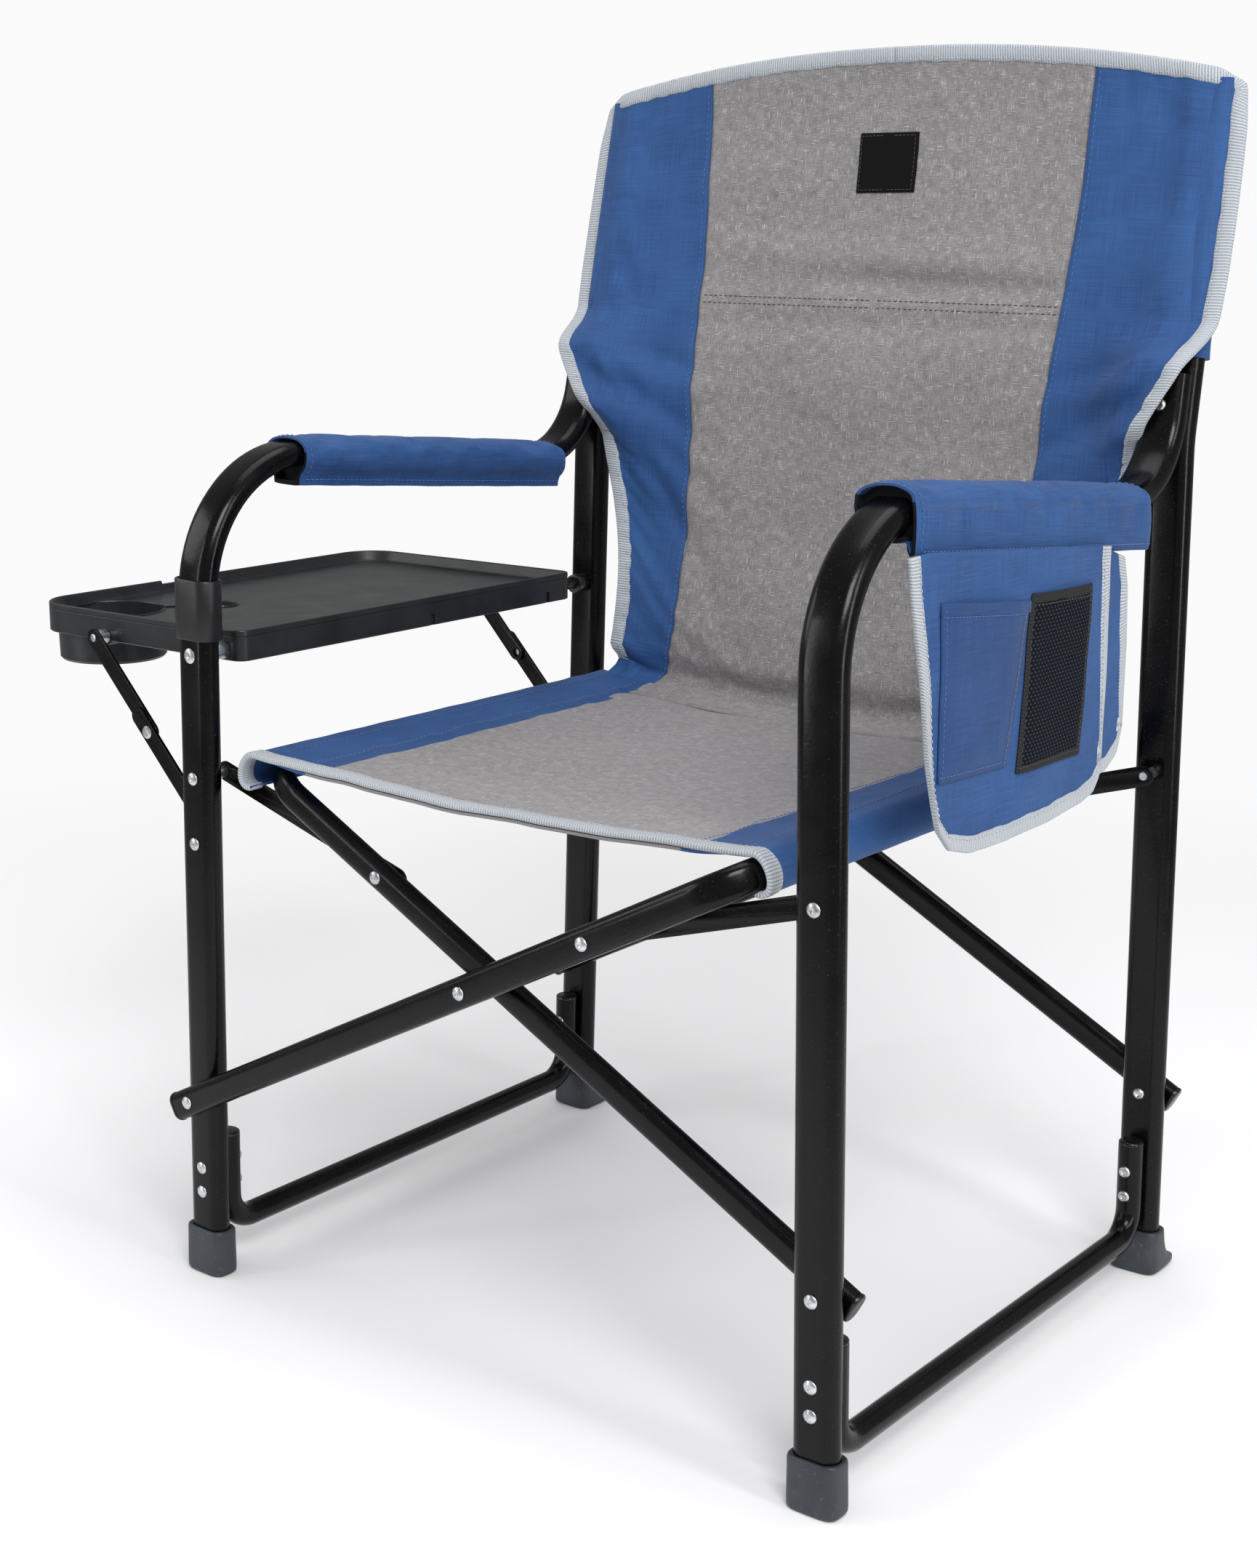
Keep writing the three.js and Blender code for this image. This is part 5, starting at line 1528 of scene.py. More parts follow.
def back_panels(side, sign):
    """The blue side panel and half of the grey centre; returns the blue grid."""
    def edge(row):
        return row[-1, 0] if sign > 0 else row[0, 0]

    def seam(row):
        return sign * grey_half(float(row[0, 2]))

    def middle(row):
        return 0.0

    if sign < 0:
        blue, grey = strip(edge, seam, 34), strip(seam, middle, 44)
        blue_seam, grey_seam = 34, 0
    else:
        grey, blue = strip(middle, seam, 44), strip(seam, edge, 34)
        blue_seam, grey_seam = 0, 44
    # the blue panel rises softly to the seam
    for column in range(blue.shape[1]):
        blue[:, column, 1] -= 0.9 * hill((column - blue_seam) / 3.2)
    grey[:, grey_seam, 1] += 0.5
    obj = join("cloth_back_" + side, [
        sheet("blue", blue, 2.0, BLUE),
        sheet("grey", grey, 2.0, GREY, normals=whole_back_normals(grey))])
    match_middle_normals(obj)
    attach_back(obj, side, "back_sling" if sign < 0 else None)
    return blue


def back_seam_stitches(side, sign, blue):
    """A row just inside the blue panel, 1.1 columns from the seam."""
    column = blue.shape[1] - 1 - 1.1 if sign < 0 else 1.1
    low = int(column)
    f = column - low
    normals = grid_normals(blue)[2:-2, low]
    points = blue[2:-2, low] * (1 - f) + blue[2:-2, low + 1] * f + normals
    row = stitches(points, normals, BLUE_THREAD, length=3.2)
    attach_back(join("stitching_back_" + side, [row]), side)


def back_cross_stitches(side, sign):
    """Two rows across the grey panel."""
    rows = []
    for row_z in (728.0, 733.5):
        points, normals = [], []
        j = back_row(row_z)
        for i in range(60):
            x = sign * (2 + (grey_half(730) - 5) * i / 59)
            z = row_z - 0.012 * x
            column = int(np.argmin(abs(BACK[j, :, 0] - x)))
            y = np.interp(z, BACK[:, column, 2], BACK[:, column, 1])
            normals.append(BACK_NORMALS[j, column])
            points.append(np.array([x, y, z]) + normals[-1])
        rows.append(stitches(points, normals, DARK_THREAD, length=3.4, gap=1.4, r=0.40))
    attach_back(join("stitching_cross_" + side, rows), side)


def back_tape(side, sign):
    """Silver tape up the side edge and over the top to the middle."""
    column = 0 if sign < 0 else BACK_COLUMNS
    inner = column - 2 * sign
    path, inward, normals = [], [], []
    for j in range(3, BACK_ROWS - 3):
        d = BACK[j, inner] - BACK[j, column]
        path.append(BACK[j, column])
        inward.append(d / np.linalg.norm(d))
        normals.append(BACK_NORMALS[j, column])
    top = list(range(column - 3 * sign, BACK_MID - sign, -sign))
    # rounded corner between the two runs
    side_end, top_end = Vector(path[-1]), Vector(BACK[-1, top[0]])
    corner = Vector(BACK[-1, column])
    from_side = Vector(inward[-1])
    from_top = Vector(BACK[-2, top[0]] - BACK[-1, top[0]]).normalized()
    for k in range(1, 6):
        f = k / 6
        curve = side_end.lerp(corner, f).lerp(corner.lerp(top_end, f), f)
        if f < 0.5:
            square = side_end.lerp(corner, 2 * f)
        else:
            square = corner.lerp(top_end, 2 * f - 1)
        path.append(np.array(curve.lerp(square, 0.85)))
        inward.append(np.array(from_side.lerp(from_top, f).normalized()))
        normals.append(BACK_NORMALS[-1, column])
    for c in top:
        d = BACK[-4, c] - BACK[-1, c]
        path.append(BACK[-1, c])
        inward.append(d / np.linalg.norm(d))
        normals.append(BACK_NORMALS[-1, c])
    obj = binding("tape_back_" + side, path, inward, normals, RIBBON, width=11.0, thick=5.2,
                  seed=1.0 + sign)
    attach_back(obj, side)
    points = [p + i * 8.8 + n * 2.35 for p, i, n in zip(path, inward, normals)]
    obj = stitches(points, normals, SILVER_THREAD, r=0.34)
    obj.name = "stitching_tape_back_" + side
    attach_back(obj, side)


def back_sleeve(side, sign):
    """Cloth sleeve over the upright, closed at the top."""
    low, high, rows = 698, 889.3, 33
    heading = Vector((0, BACK_SLOPE, 1)).normalized()
    heights = [low + (high - low) * k / rows for k in range(rows + 1)]
    line = [(Vector((0, upright_y(z) + 0.6, z)), heading) for z in heights]
    section = oval(LEG_T + 4.2, LEG_W + 4.6, 14)

    def pucker(point):
        return 1 + 0.018 * rough_at(point.z / 9, sign * 4.0, 0) + 0.03 * hill((point.z - 700) / 6)

    obj = tube("cloth_sleeve_" + side, section, line, (1, 0, 0), BLUE,
               matrix=side_matrix(side), swell=pucker, crease=50)
    n = len(section)
    girth, row_length = 98.0, 5.8
    vertex = np.arange(len(obj.data.vertices))
    set_uv(obj.data, np.stack([(vertex % n) * (girth / n), (vertex // n) * row_length], 1))
    attach(obj, side + "_frame")


for side, sign in SIDES:
    blue_grid = back_panels(side, sign)
    back_seam_stitches(side, sign, blue_grid)
    back_cross_stitches(side, sign)
    back_tape(side, sign)
    back_sleeve(side, sign)


# plain woven patch near the top of the back, in two halves
PATCH_HALF_W, PATCH_HALF_H, PATCH_Z = 25.5, 22.5, 838.0


def back_y(x, z):
    j = min(max(back_row(z), 1), BACK_ROWS - 1)
    low, high = BACK[j - 1], BACK[j + 1]
    z0, z1 = low[BACK_MID, 2], high[BACK_MID, 2]
    y0, y1 = (np.interp(x, row[:, 0], row[:, 1]) for row in (low, high))
    return float(y0 + (y1 - y0) * (z - z0) / (z1 - z0))


def patch_half(side, sign):
    grid = []
    for j in range(19):
        z = PATCH_Z - PATCH_HALF_H + 2 * PATCH_HALF_H * j / 18
        row = []
        for i in range(13):
            x = sign * PATCH_HALF_W * i / 12
            lift = 1.4 if i == 12 or j in (0, 18) else 2.0
            row.append((x, back_y(x, z) - lift, z))
        grid.append(row[::sign])
    grid = np.array(grid)
    normals = np.zeros_like(grid)
    normals[:, :] = (0, -0.98, 0.2)
    obj = sheet("patch_" + side, grid, 1.3, PATCH, normals=normals)
    attach_back(obj, side)
    inset, middle = 2.2, 0.8
    low, high = PATCH_Z - PATCH_HALF_H + inset, PATCH_Z + PATCH_HALF_H - inset
    outer = PATCH_HALF_W - inset
    corners = [(middle, low), (outer, low), (outer, high), (middle, high)]
    points = []
    for a, b in zip(corners, corners[1:]):
        for k in range(12):
            x = sign * (a[0] + (b[0] - a[0]) * k / 12)
            z = a[1] + (b[1] - a[1]) * k / 12
            points.append((x, back_y(x, z) - 2.75, z))
    obj = stitches(points, [(0, -1, 0.2)] * len(points), DARK_THREAD, length=2.4, gap=1.0,
                   r=0.28)
    obj.name = "stitching_patch_" + side
    attach_back(obj, side)


for side, sign in SIDES:
    patch_half(side, sign)

# ------------------------------------------------------------------- seat
SEAT_FRONT, SEAT_REAR, SEAT_ROWS = -229.0, 189.0, 96
# pulls in toward the middle from the sides: y, depth
SEAT_PULLS = [(120, 2.4), (60, 1.5), (-40, 1.2), (160, 2.6)]


def seat_profile():
    """(x, z) points left to right: round the left rail, across and round the right rail.
    Also returns the index of the left rail's highest point."""
    columns = 72
    half_t, half_w = CROSS_T / 2 + 2.4, CROSS_W / 2 + 2.2
    cos_tilt, sin_tilt = math.cos(-CROSS_ANGLE), math.sin(-CROSS_ANGLE)
    left = []
    for k in range(19):  # from the inner underside, round the outside, over the top
        a = math.radians(-55 - 215 * k / 18)
        px = half_t * math.copysign(abs(math.cos(a)) ** 0.9, math.cos(a))
        py = half_w * math.sin(a)
        left.append((-RAIL_X + px * cos_tilt - py * sin_tilt,
                     RAIL_Z + px * sin_tilt + py * cos_tilt))
    top = max(range(len(left)), key=lambda k: left[k][1])
    left = left[:top + 1]
    right = [(-x, z) for x, z in left][::-1]
    edge_x, edge_z = left[-1]
    middle = []
    for k in range(1, columns):
        u = -1 + 2 * k / columns
        middle.append((abs(edge_x) * u, edge_z - 9.5 * (1 - abs(u) ** 2.1)))
    return left + middle + right, top


def seat_height(x, y):
    """Height of the cloth's unevenness over the profile."""
    side = abs(x)
    inner = ease((1 - side / 205) / 0.16)
    lift = inner * (1.9 * rough_at(x / 60, y / 80, 21.0) + 0.9 * rough_at(x / 26, y / 30, 27.0))
    # puckers along the colour seam
    lift += 0.7 * math.sin(y / 8.5 + 2 * rough_at(y / 30, 1, 2)) * hill((side - 176) / 12)
    for mid_y, amount in SEAT_PULLS:
        t = (y - mid_y) - 0.9 * (side - 190)
        lift += amount * hill(t / 9) * hill((side - 180) / 34)
    # lower toward the rear, raised along the front edge
    lift -= inner * ease((y + 60) / 240)
    lift += 2.4 * hill((y - SEAT_FRONT) / 22) * inner
    return lift


def seat_grid(profile, top):
    n = len(profile)
    grid = np.zeros((SEAT_ROWS + 1, n, 3))
    for j in range(SEAT_ROWS + 1):
        y = SEAT_FRONT + (SEAT_REAR - SEAT_FRONT) * j / SEAT_ROWS
        for i, (x, z) in enumerate(profile):
            round_rail = i <= top or i >= n - 1 - top
            fine = 0.35 * rough_at(x / 15, y / 24, 5.0) if round_rail else 0
            grid[j, i] = (x, y, z + seat_height(x, y) + fine)
    return grid


def attach_seat(obj, replaces=None):
    """The seat cloth and its parts ride on the seat body."""
    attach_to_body(obj, "seat")
    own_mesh(obj)
    if replaces:
        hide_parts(replaces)


def seam_shift(y):
    """The colour seams of the seat spread apart toward the rear."""
    return 4 * ease((y - 100) / 90)


def seat_cloth(profile, grid):
    along = lengths_along(profile)
    uvs = np.zeros(grid.shape[:2] + (2,))
    uvs[:, :, 0] = np.array(along)[None, :] - along[-1] / 2
    uvs[:, :, 1] = grid[:, :1, 1]
    seat = sheet("cloth_seat", grid, 2.0, BLUE, uvs=uvs)
    seat.data.materials.append(GREY)
    grey = []
    for p in seat.data.polygons:
        centre = p.center / MM - Vector(FEET_CENTRE)
        inside = abs(centre.x) < 166 + seam_shift(centre.y)
        grey.append(1 if inside and centre.z > 400 else 0)
    seat.data.polygons.foreach_set("material_index", grey)
    points = local_points(seat)
    pins = np.where(np.abs(points[:, 0]) > 205, 1.0, 0.0)
    pins[points[:, 1] > SEAT_REAR - 3] = 1.0
    simulate(seat, pins, frames=10, stiff=25, shrink=-0.004, cap=4.0, gravity=1.0)
    attach_seat(seat, "seat_sling")


def seat_tape(grid, top):
    """Silver tape along the front edge, stitched between the rails."""
    path = grid[0]
    inward = grid[1] - grid[0]
    inward /= np.linalg.norm(inward, axis=1, keepdims=True)
    normals = grid_normals(grid)[0]
    obj = binding("tape_seat_front", path, inward, normals, RIBBON, width=12.5, thick=4.6,
                  seed=0.4)
    attach_seat(obj)
    between = slice(top, len(path) - top)
    points = path + inward * 9.6 + normals * 2.1
    obj = stitches(points[between], normals[between], SILVER_THREAD)
    obj.name = "stitching_tape_seat"
    attach_seat(obj)


def seat_stitches(grid, top):
    """Rows beside each colour seam and each rail."""
    rows = []
    for sign in (-1, 1):
        for row_x, follows_seam in ((171.5, True), (206.0, False)):
            points = []
            for j in range(3, SEAT_ROWS - 1):
                row = grid[j, top:grid.shape[1] - top]
                y = row[0, 1]
                x = sign * (row_x + (seam_shift(y) if follows_seam else 0))
                points.append((x, y, np.interp(x, row[:, 0], row[:, 2]) + 1.0))
            rows.append(stitches(points, [(0, 0, 1)] * len(points), BLUE_THREAD, length=3.2))
    attach_seat(join("stitching_seat", rows))


seat_line, rail_top = seat_profile()
seat_points = seat_grid(seat_line, rail_top)
seat_cloth(seat_line, seat_points)
seat_tape(seat_points, rail_top)
seat_stitches(seat_points, rail_top)

# ---------------------------------------------------------------- arm pads
# cross-section (x, height over the arm) from the top's left edge down and round to the right
PAD_LEFT = [(-22.3, -3), (-21.6, -8), (-18.8, -12.2), (-15.6, -15.2), (-14.2, -19),
            (-13.8, -23.2)]
PAD_BOTTOM = [(-9, -23.9), (-3, -24.0), (3, -24.0), (9, -23.9)]
PAD_RIGHT = [(-x, z) for x, z in reversed(PAD_LEFT)]
# with a flap hanging on the right
FLAP_BOTTOM = [(-9, -23.9), (-3, -24.0), (3, -24.0), (9, -23.6), (15.0, -22.0)]
FLAP_RIGHT = [(17.6, -26.5), (18.4, -31.2), (19.6, -32.6), (21.2, -32.2), (22.2, -29),
              (22.9, -20), (23.1, -11), (22.7, -4)]
PAD_ROWS, PAD_TOP_POINTS = 64, 25


def pad_section(flap):
    angles = [math.pi * i / (PAD_TOP_POINTS - 1) for i in range(PAD_TOP_POINTS)]
    section = [(22.0 * math.cos(a), 1.5 + 11.0 * math.sin(a) ** 0.85) for a in angles]
    under = FLAP_BOTTOM + FLAP_RIGHT if flap else PAD_BOTTOM + PAD_RIGHT
    return section + PAD_LEFT + under


def pad_body(side, y0, y1, section, seed):
    """The quilted sleeve, with recessed lining at both ends."""
    n = len(section)
    stretch = 1 / math.cos(math.atan(ARM_SLOPE))
    length = (y1 - y0) * stretch
    girth = lengths_along(section)
    verts, uv = [], []
    for k in range(PAD_ROWS + 1):
        t = k / PAD_ROWS
        y = y0 + (y1 - y0) * t
        shrunk = 1 - 0.05 * hill(min(t, 1 - t) * length / 5.0)
        for i, (a, b) in enumerate(section):
            uneven = (0.55 * rough_at(y / 34, i / 5.0, seed)
                      + 0.12 * rough_at(y / 12, i / 3.0, 13.0))
            grow = 1 + uneven / math.hypot(a, b)
            rise = b * (shrunk if b > 0 else 1.0) * grow
            verts.append((a * shrunk * grow, y, arm_z(y) + rise))
            uv.append((y * stretch, girth[i]))
    faces = band_faces(PAD_ROWS + 1, n)
    sleeve_faces, sleeve_verts = len(faces), len(verts)
    depth = 7.0
    for k, y, sign in ((0, y0, 1), (PAD_ROWS, y1, -1)):
        inner_y = y + sign * depth
        rim = [(x * 0.90, y, arm_z(y) + (z - arm_z(y)) * 0.88)
               for x, _, z in verts[k * n:(k + 1) * n]]
        floor = [(x * 0.99, inner_y, arm_z(inner_y) + (z - arm_z(y)) * 0.99)
                 for x, _, z in rim]
        base = len(verts)
        verts += rim + floor
        uv += [(0, g) for g in girth] + [(depth, g) for g in girth]
        for i in range(n):
            j = (i + 1) % n
            faces.append((k * n + i, base + i, base + j, k * n + j))
            faces.append((base + i, base + n + i, base + n + j, base + j))
        faces.append(tuple(base + n + i for i in range(n)))
    obj = make("pad_arm_" + side, verts, faces, BLUE, matrix=side_matrix(side), uv=uv)
    obj.data.materials.append(LINING)
    # of each end's 2n + 1 faces the first n stay blue, the rest are lining
    end_faces = len(obj.data.polygons) - sleeve_faces
    lining = [0 if q % (2 * n + 1) < n else 1 for q in range(end_faces)]
    obj.data.polygons.foreach_set("material_index", [0] * sleeve_faces + lining)
    turn_out(obj)
    pins = np.zeros(len(verts))
    for k in range(PAD_ROWS + 1):
        for i in range(n):
            if section[i][1] < -14 or k in (0, PAD_ROWS):
                pins[k * n + i] = 1.0
    pins[sleeve_verts:] = 1.0
    simulate(obj, pins, frames=14, stiff=15, shrink=-0.012, cap=1.8, bending=2.5,
             pressure=4.0)
    return sharp(obj, 62)


def arm_pad(side, y0, y1, flap, seed):
    """A padded sleeve round the arm, stitched along both lower sides and inside each end."""
    matrix = side_matrix(side)
    section = pad_section(flap)
    n = len(section)
    pad = pad_body(side, y0, y1, section, seed)
    rows = []
    for sign in (-1, 1):
        x, drop = (23.6, -28.0) if flap and sign > 0 else (sign * 14.7, -19.0)
        points = [matrix @ Vector((x, y, arm_z(y) + drop))
                  for y in np.linspace(y0 + 4, y1 - 4, 60)]
        rows.append(stitches(points, [(sign, 0, 0)] * 60, BLUE_THREAD, length=3.2, lift=0.1))
    surface = local_points(pad)
    for y in (y0 + 6, y1 - 6):
        k = int(round((y - y0) / (y1 - y0) * PAD_ROWS))
        around = list(range(n - 4, n)) + list(range(28))
        points = surface[[k * n + i for i in around]]
        normals = (points - points.mean(axis=0)) * np.array([1, 0, 1])
        rows.append(stitches(points, normals, BLUE_THREAD, r=0.34, lift=0.2))
    sewing = join("stitching_pad_" + side, rows)
    attach(pad, side + "_frame", "arm_pad_" + side)
    attach(sewing, side + "_frame")


arm_pad("left", -139.5, 167.5, flap=False, seed=3.0)
arm_pad("right", -165.5, 153.5, flap=True, seed=8.0)

# ------------------------------------------------------------ side pocket
# edges of the two compartments as (y, z): top and bottom run front to rear,
# the front and rear edges run down from the top
OUTER_POCKET = dict(
    top=[(-183, 603), (-160, 604), (80, 583)],
    bottom=[(-140, 444), (-134, 428), (-120, 414), (-96, 407.5), (-50, 406), (10, 407.5),
            (56, 411), (72, 415), (81, 425), (83, 440)],
    front=[(-183, 603), (-176, 575), (-168, 545), (-160, 512), (-149, 470), (-140, 444)],
    rear=[(80, 583), (82, 550), (83, 510), (83.5, 470), (83, 440)])
INNER_POCKET = dict(
    top=[(-150, 600), (70, 585), (110, 572)],
    bottom=[(-110, 424), (-60, 420), (40, 420), (100, 425), (116, 434), (122, 452)],
    front=[(-150, 600), (-140, 520), (-110, 424)],
    rear=[(110, 572), (117, 552), (121, 510), (122, 452)])
# small pockets: top front, top rear, bottom rear, bottom front as (y, z)
PLAIN_CORNERS = [(-146, 571), (-33, 559), (-56, 456), (-139, 459)]
NET_CORNERS = [(-30, 563), (53, 560), (46, 447), (-42, 449)]


def outer_x(y, z):
    """The outer compartment's bulged face."""
    return (292.6 + 1.6 * rough_at(y / 55, z / 50, 2.0)
            + 1.0 * math.sin((y + 60) / 40.0) * ease((600 - z) / 90))


def inner_x(y, z):
    return 289.6 - 0.6 * math.sin(y / 40.0) - 1.2 * ease((y - 70) / 50)


def along(points, share):
    """The point at a share of a polyline's length."""
    points = [Vector(p) for p in points]
    spans = [(b - a).length for a, b in zip(points, points[1:])]
    d = share * sum(spans)
    for a, b, span in zip(points, points[1:], spans):
        if d <= span + 1e-9:
            return a.lerp(b, min(1, d / span))
        d -= span
    return points[-1].copy()


def filled(top, bottom, front, rear, x_of, nu=56, nv=48):
    """Coons patch over four edges; x_of gives x at (y, z)."""
    top_front, top_rear = Vector(top[0]), Vector(top[-1])
    low_front, low_rear = Vector(bottom[0]), Vector(bottom[-1])
    rows = []
    for j in range(nv + 1):
        v = j / nv
        start, end = along(front, 1 - v), along(rear, 1 - v)
        row = []
        for i in range(nu + 1):
            u = i / nu
            p = ((start * (1 - u) + end * u)
                 + (along(bottom, u) * (1 - v) + along(top, u) * v)
                 - (low_front * (1 - u) * (1 - v) + low_rear * u * (1 - v)
                    + top_front * (1 - u) * v + top_rear * u * v))
            row.append((x_of(p.x, p.y), p.x, p.y))
        rows.append(row)
    return np.array(rows)


def small_pocket(corners, lift, nu, nv):
    """Grid of a sewn-on pocket with a bulged face and an open top."""
    top_front, top_rear, low_rear, low_front = [Vector(c) for c in corners]
    rows = []
    for j in range(nv + 1):
        v = j / nv
        row = []
        for i in range(nu + 1):
            u = i / nu
            p = low_front.lerp(low_rear, u).lerp(top_front.lerp(top_rear, u), v)
            held = ease(min(u, 1 - u) * nu / 4.0) * ease(v * nv / 4.0)
            swell = lift * held * (0.55 + 0.45 * math.sin(math.pi * u)) * (0.6 + 0.4 * v)
            row.append((outer_x(p.x, p.y) + 1.7 + swell, p.x, p.y))
        rows.append(row)
    return np.array(rows)


def pocket_sheet(grid, thick, material):
    return sheet("pocket", grid, thick, material, uvs=grid[:, :, 1:])


def outline(grid, depth=0):
    """Down the front edge, along the bottom and up the rear edge, `depth` cells in."""
    return np.concatenate([grid[::-1, depth], grid[depth, 1:], grid[1:, -1 - depth]])


def bound_edge(grid):
    """Path for edging tape and its inward directions, eased round the corners."""
    path = outline(grid)
    inward = outline(grid, depth=1) - path
    inward /= np.linalg.norm(inward, axis=1, keepdims=True)
    for _ in range(6):
        inward[1:-1] = (inward[:-2] + inward[1:-1] + inward[2:]) / 3
    return path, inward / np.linalg.norm(inward, axis=1, keepdims=True)


def pocket_tape(path, inward, material, **size):
    return binding("tape", path, inward, [(1, 0, 0)] * len(path), material, **size)


def pocket_stitches(points, material, **size):
    return stitches(points, [(1, 0, 0)] * len(points), material, **size)


def side_pocket():
    outer = filled(x_of=outer_x, **OUTER_POCKET)
    inner = filled(x_of=inner_x, **INNER_POCKET)
    plain = small_pocket(PLAIN_CORNERS, lift=3.2, nu=22, nv=30)
    net = small_pocket(NET_CORNERS, lift=2.2, nu=30, nv=36)
    cloth = [pocket_sheet(outer, 1.8, BLUE), pocket_sheet(inner, 1.6, BLUE),
             pocket_sheet(plain, 1.2, DEEP_BLUE), pocket_sheet(net, 0.9, NET)]

    path, inward = bound_edge(outer)
    tape = [pocket_tape(path, inward, RIBBON, width=10.5, thick=4.0, step=3.5, seed=2.0)]
    points = path + inward * 8.4 + np.array((1.95, 0, 0))
    sewing = [pocket_stitches(points, SILVER_THREAD, r=0.34)]
    tape.append(pocket_tape(*bound_edge(inner), RIBBON, width=9.5, thick=3.4, step=3.5,
                            seed=5.0))
    for grid, material in ((plain, BLUE_THREAD), (net, DARK_THREAD)):
        for line in (grid[:, 1], grid[:, -2], grid[1], grid[-3]):
            sewing.append(pocket_stitches(line + np.array((0.6, 0, 0)), material, length=2.6,
                                          gap=1.3, r=0.30))
    # black tape round the net and along its top, a blue hem on the plain pocket
    rows, columns = net.shape[:2]
    inward = [(0, 1, 0)] * rows + [(0, 0, 1)] * (columns - 1) + [(0, -1, 0)] * (rows - 1)
    tape.append(pocket_tape(outline(net), inward, BLACK_WEB, width=5.0, thick=1.8, step=3.0))
    for grid, material, width, thick in ((net, BLACK_WEB, 5.0, 1.8),
                                         (plain, DEEP_BLUE, 7.0, 2.0)):
        tape.append(pocket_tape(grid[-1], [(0, 0, -1)] * grid.shape[1], material,
                                width=width, thick=thick, step=3.0))
    attach(join("pocket_organiser", cloth), "right_frame", "side_pocket")
    attach(join("tape_pocket", tape), "right_frame")
    attach(join("stitching_pocket", sewing), "right_frame")


side_pocket()


# ------------------------------------- floor, light and camera, in metres
def studio_floor():
    """A pale floor that fades to clear away from the chair."""
    mat = Shader("studio_floor")
    mat.done(color=(0.86, 0.86, 0.87, 1), rough=0.9, Specular_IOR_Level=0.0)
    distance = mat.node("ShaderNodeVectorMath", operation="LENGTH")
    mat.put(distance.inputs[0], mat.coords())
    clear = mat.node("ShaderNodeBsdfTransparent")
    fade = mat.node("ShaderNodeMixShader")
    mat.put(fade.inputs[0], mat.map(distance.outputs["Value"], span=(0.75, 1.9),
                                    interpolation="SMOOTHSTEP"))
    mat.put(fade.inputs[1], mat.bsdf.outputs[0])
    mat.put(fade.inputs[2], clear.outputs[0])
    mat.put(mat.tree.nodes["Material Output"].inputs[0], fade.outputs[0])
    mesh = bpy.data.meshes.new("floor")
    half, drop = 40.0, 0.0006
    corners = [(-half, -half, 0), (half, -half, 0), (half, half, 0), (-half, half, 0)]
    mesh.from_pydata(corners, [], [(0, 1, 2, 3)])
    mesh.materials.append(mat.material)
    floor = link("floor", mesh)
    floor.location.z = -drop


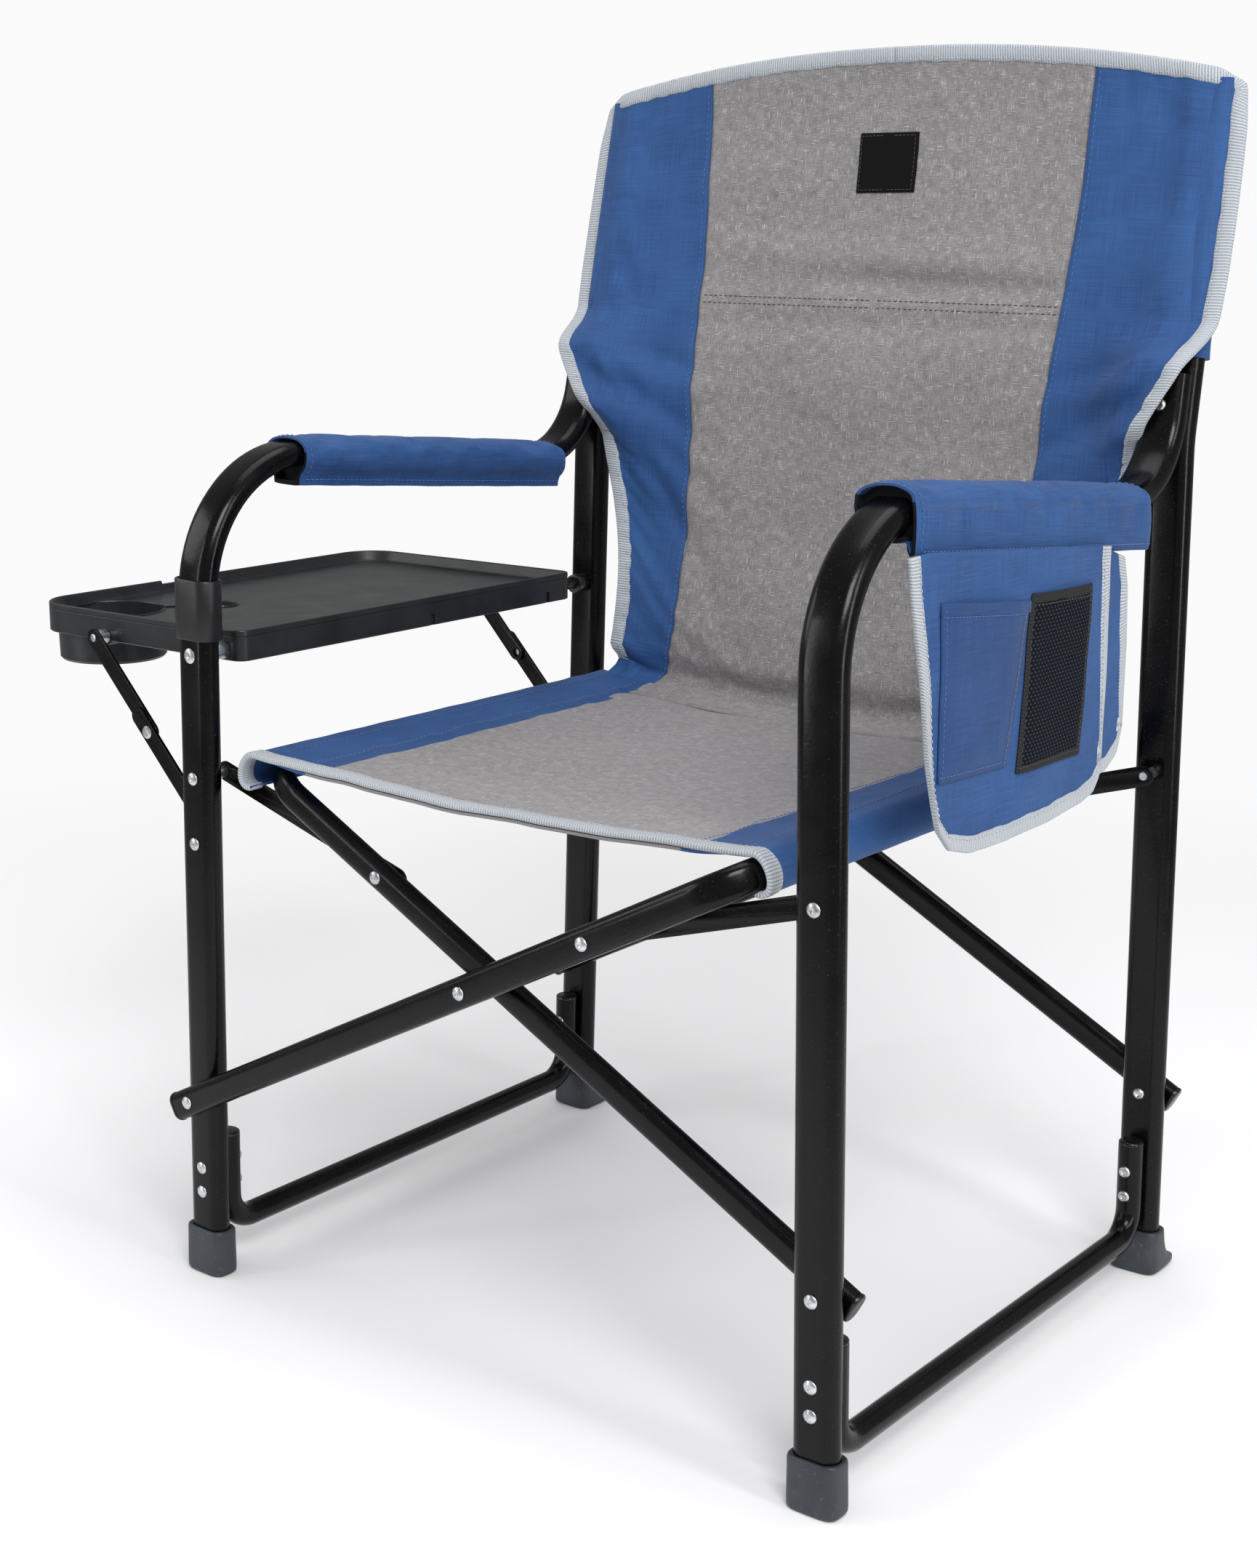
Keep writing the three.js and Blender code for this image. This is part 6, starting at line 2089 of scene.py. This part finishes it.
def studio_world():
    """Plain white to the camera, softer as a light and darker in reflections."""
    lit, camera_gain, glossy_gain = 0.62, 0.34, -0.30
    world = bpy.data.worlds.new("studio")
    bpy.context.scene.world = world
    world.use_nodes = True
    nodes, links = world.node_tree.nodes, world.node_tree.links
    background = nodes["Background"]
    coords = nodes.new("ShaderNodeTexCoord")
    parts = nodes.new("ShaderNodeSeparateXYZ")
    links.new(coords.outputs["Generated"], parts.inputs[0])
    ramp = nodes.new("ShaderNodeValToRGB")
    for element, position in zip(ramp.color_ramp.elements, (0.0, 1.0)):
        element.position = position
        element.color = (1.0, 1.0, 1.0, 1)
    links.new(parts.outputs["Z"], ramp.inputs[0])
    links.new(ramp.outputs[0], background.inputs["Color"])
    rays = nodes.new("ShaderNodeLightPath")
    for_camera = nodes.new("ShaderNodeMath")
    for_camera.operation = "MULTIPLY_ADD"
    links.new(rays.outputs["Is Camera Ray"], for_camera.inputs[0])
    for_camera.inputs[1].default_value = camera_gain
    for_camera.inputs[2].default_value = lit
    for_glossy = nodes.new("ShaderNodeMath")
    for_glossy.operation = "MULTIPLY_ADD"
    links.new(rays.outputs["Is Glossy Ray"], for_glossy.inputs[0])
    for_glossy.inputs[1].default_value = glossy_gain
    links.new(for_camera.outputs[0], for_glossy.inputs[2])
    links.new(for_glossy.outputs[0], background.inputs["Strength"])


def area_light(name, location, aim, size, power, height=None):
    """An area light looking at `aim`; a height makes it a rectangle."""
    light = bpy.data.lights.new(name, "AREA")
    light.energy = power
    light.size = size
    if height:
        light.shape = "RECTANGLE"
        light.size_y = height
    obj = link(name, light)
    obj.location = location
    obj.rotation_euler = (Vector(aim) - Vector(location)).to_track_quat("-Z", "Y").to_euler()


def studio_camera():
    azimuth, elevation, roll = (math.radians(a) for a in (39.69, 14.71, -0.20))
    position = (0.98343 + FEET_CENTRE[0] * MM, -1.37153 + FEET_CENTRE[1] * MM, 0.79232)
    backward = Vector((math.sin(azimuth) * math.cos(elevation),
                       -math.cos(azimuth) * math.cos(elevation), math.sin(elevation)))
    level = Vector((0, 0, 1)).cross(backward).normalized()
    upright = backward.cross(level)
    right = level * math.cos(roll) + upright * math.sin(roll)
    up = upright * math.cos(roll) - level * math.sin(roll)
    data = bpy.data.cameras.new("camera")
    data.sensor_width = 36.0
    data.sensor_fit = "AUTO"
    data.lens = 53.46
    data.shift_x = 0.0685
    data.shift_y = 0.0332
    data.clip_start = 0.02
    data.clip_end = 100
    camera = link("camera", data)
    rows = [tuple(row) for row in zip(right, up, backward, position)]
    camera.matrix_world = Matrix(rows + [(0, 0, 0, 1)])
    bpy.context.scene.camera = camera


studio_floor()
studio_world()
CHAIR_MIDDLE = (0, 0, 0.5)
area_light("key", (1.9, -1.7, 2.5), CHAIR_MIDDLE, size=1.2, power=58)
area_light("fill", (-2.4, -1.6, 1.7), CHAIR_MIDDLE, size=1.3, power=14)
area_light("strip", (2.2, -0.3, 1.0), (0.2, -0.1, 0.5), size=0.30, power=16, height=1.9)
area_light("strip_left", (-1.5, -2.4, 0.9), (-0.2, -0.1, 0.5), size=0.30, power=12, height=1.9)
area_light("top", (0.0, 0.3, 3.0), CHAIR_MIDDLE, size=1.8, power=22)
studio_camera()
bpy.context.scene.view_settings.view_transform = "Standard"

bpy.context.view_layer.update()
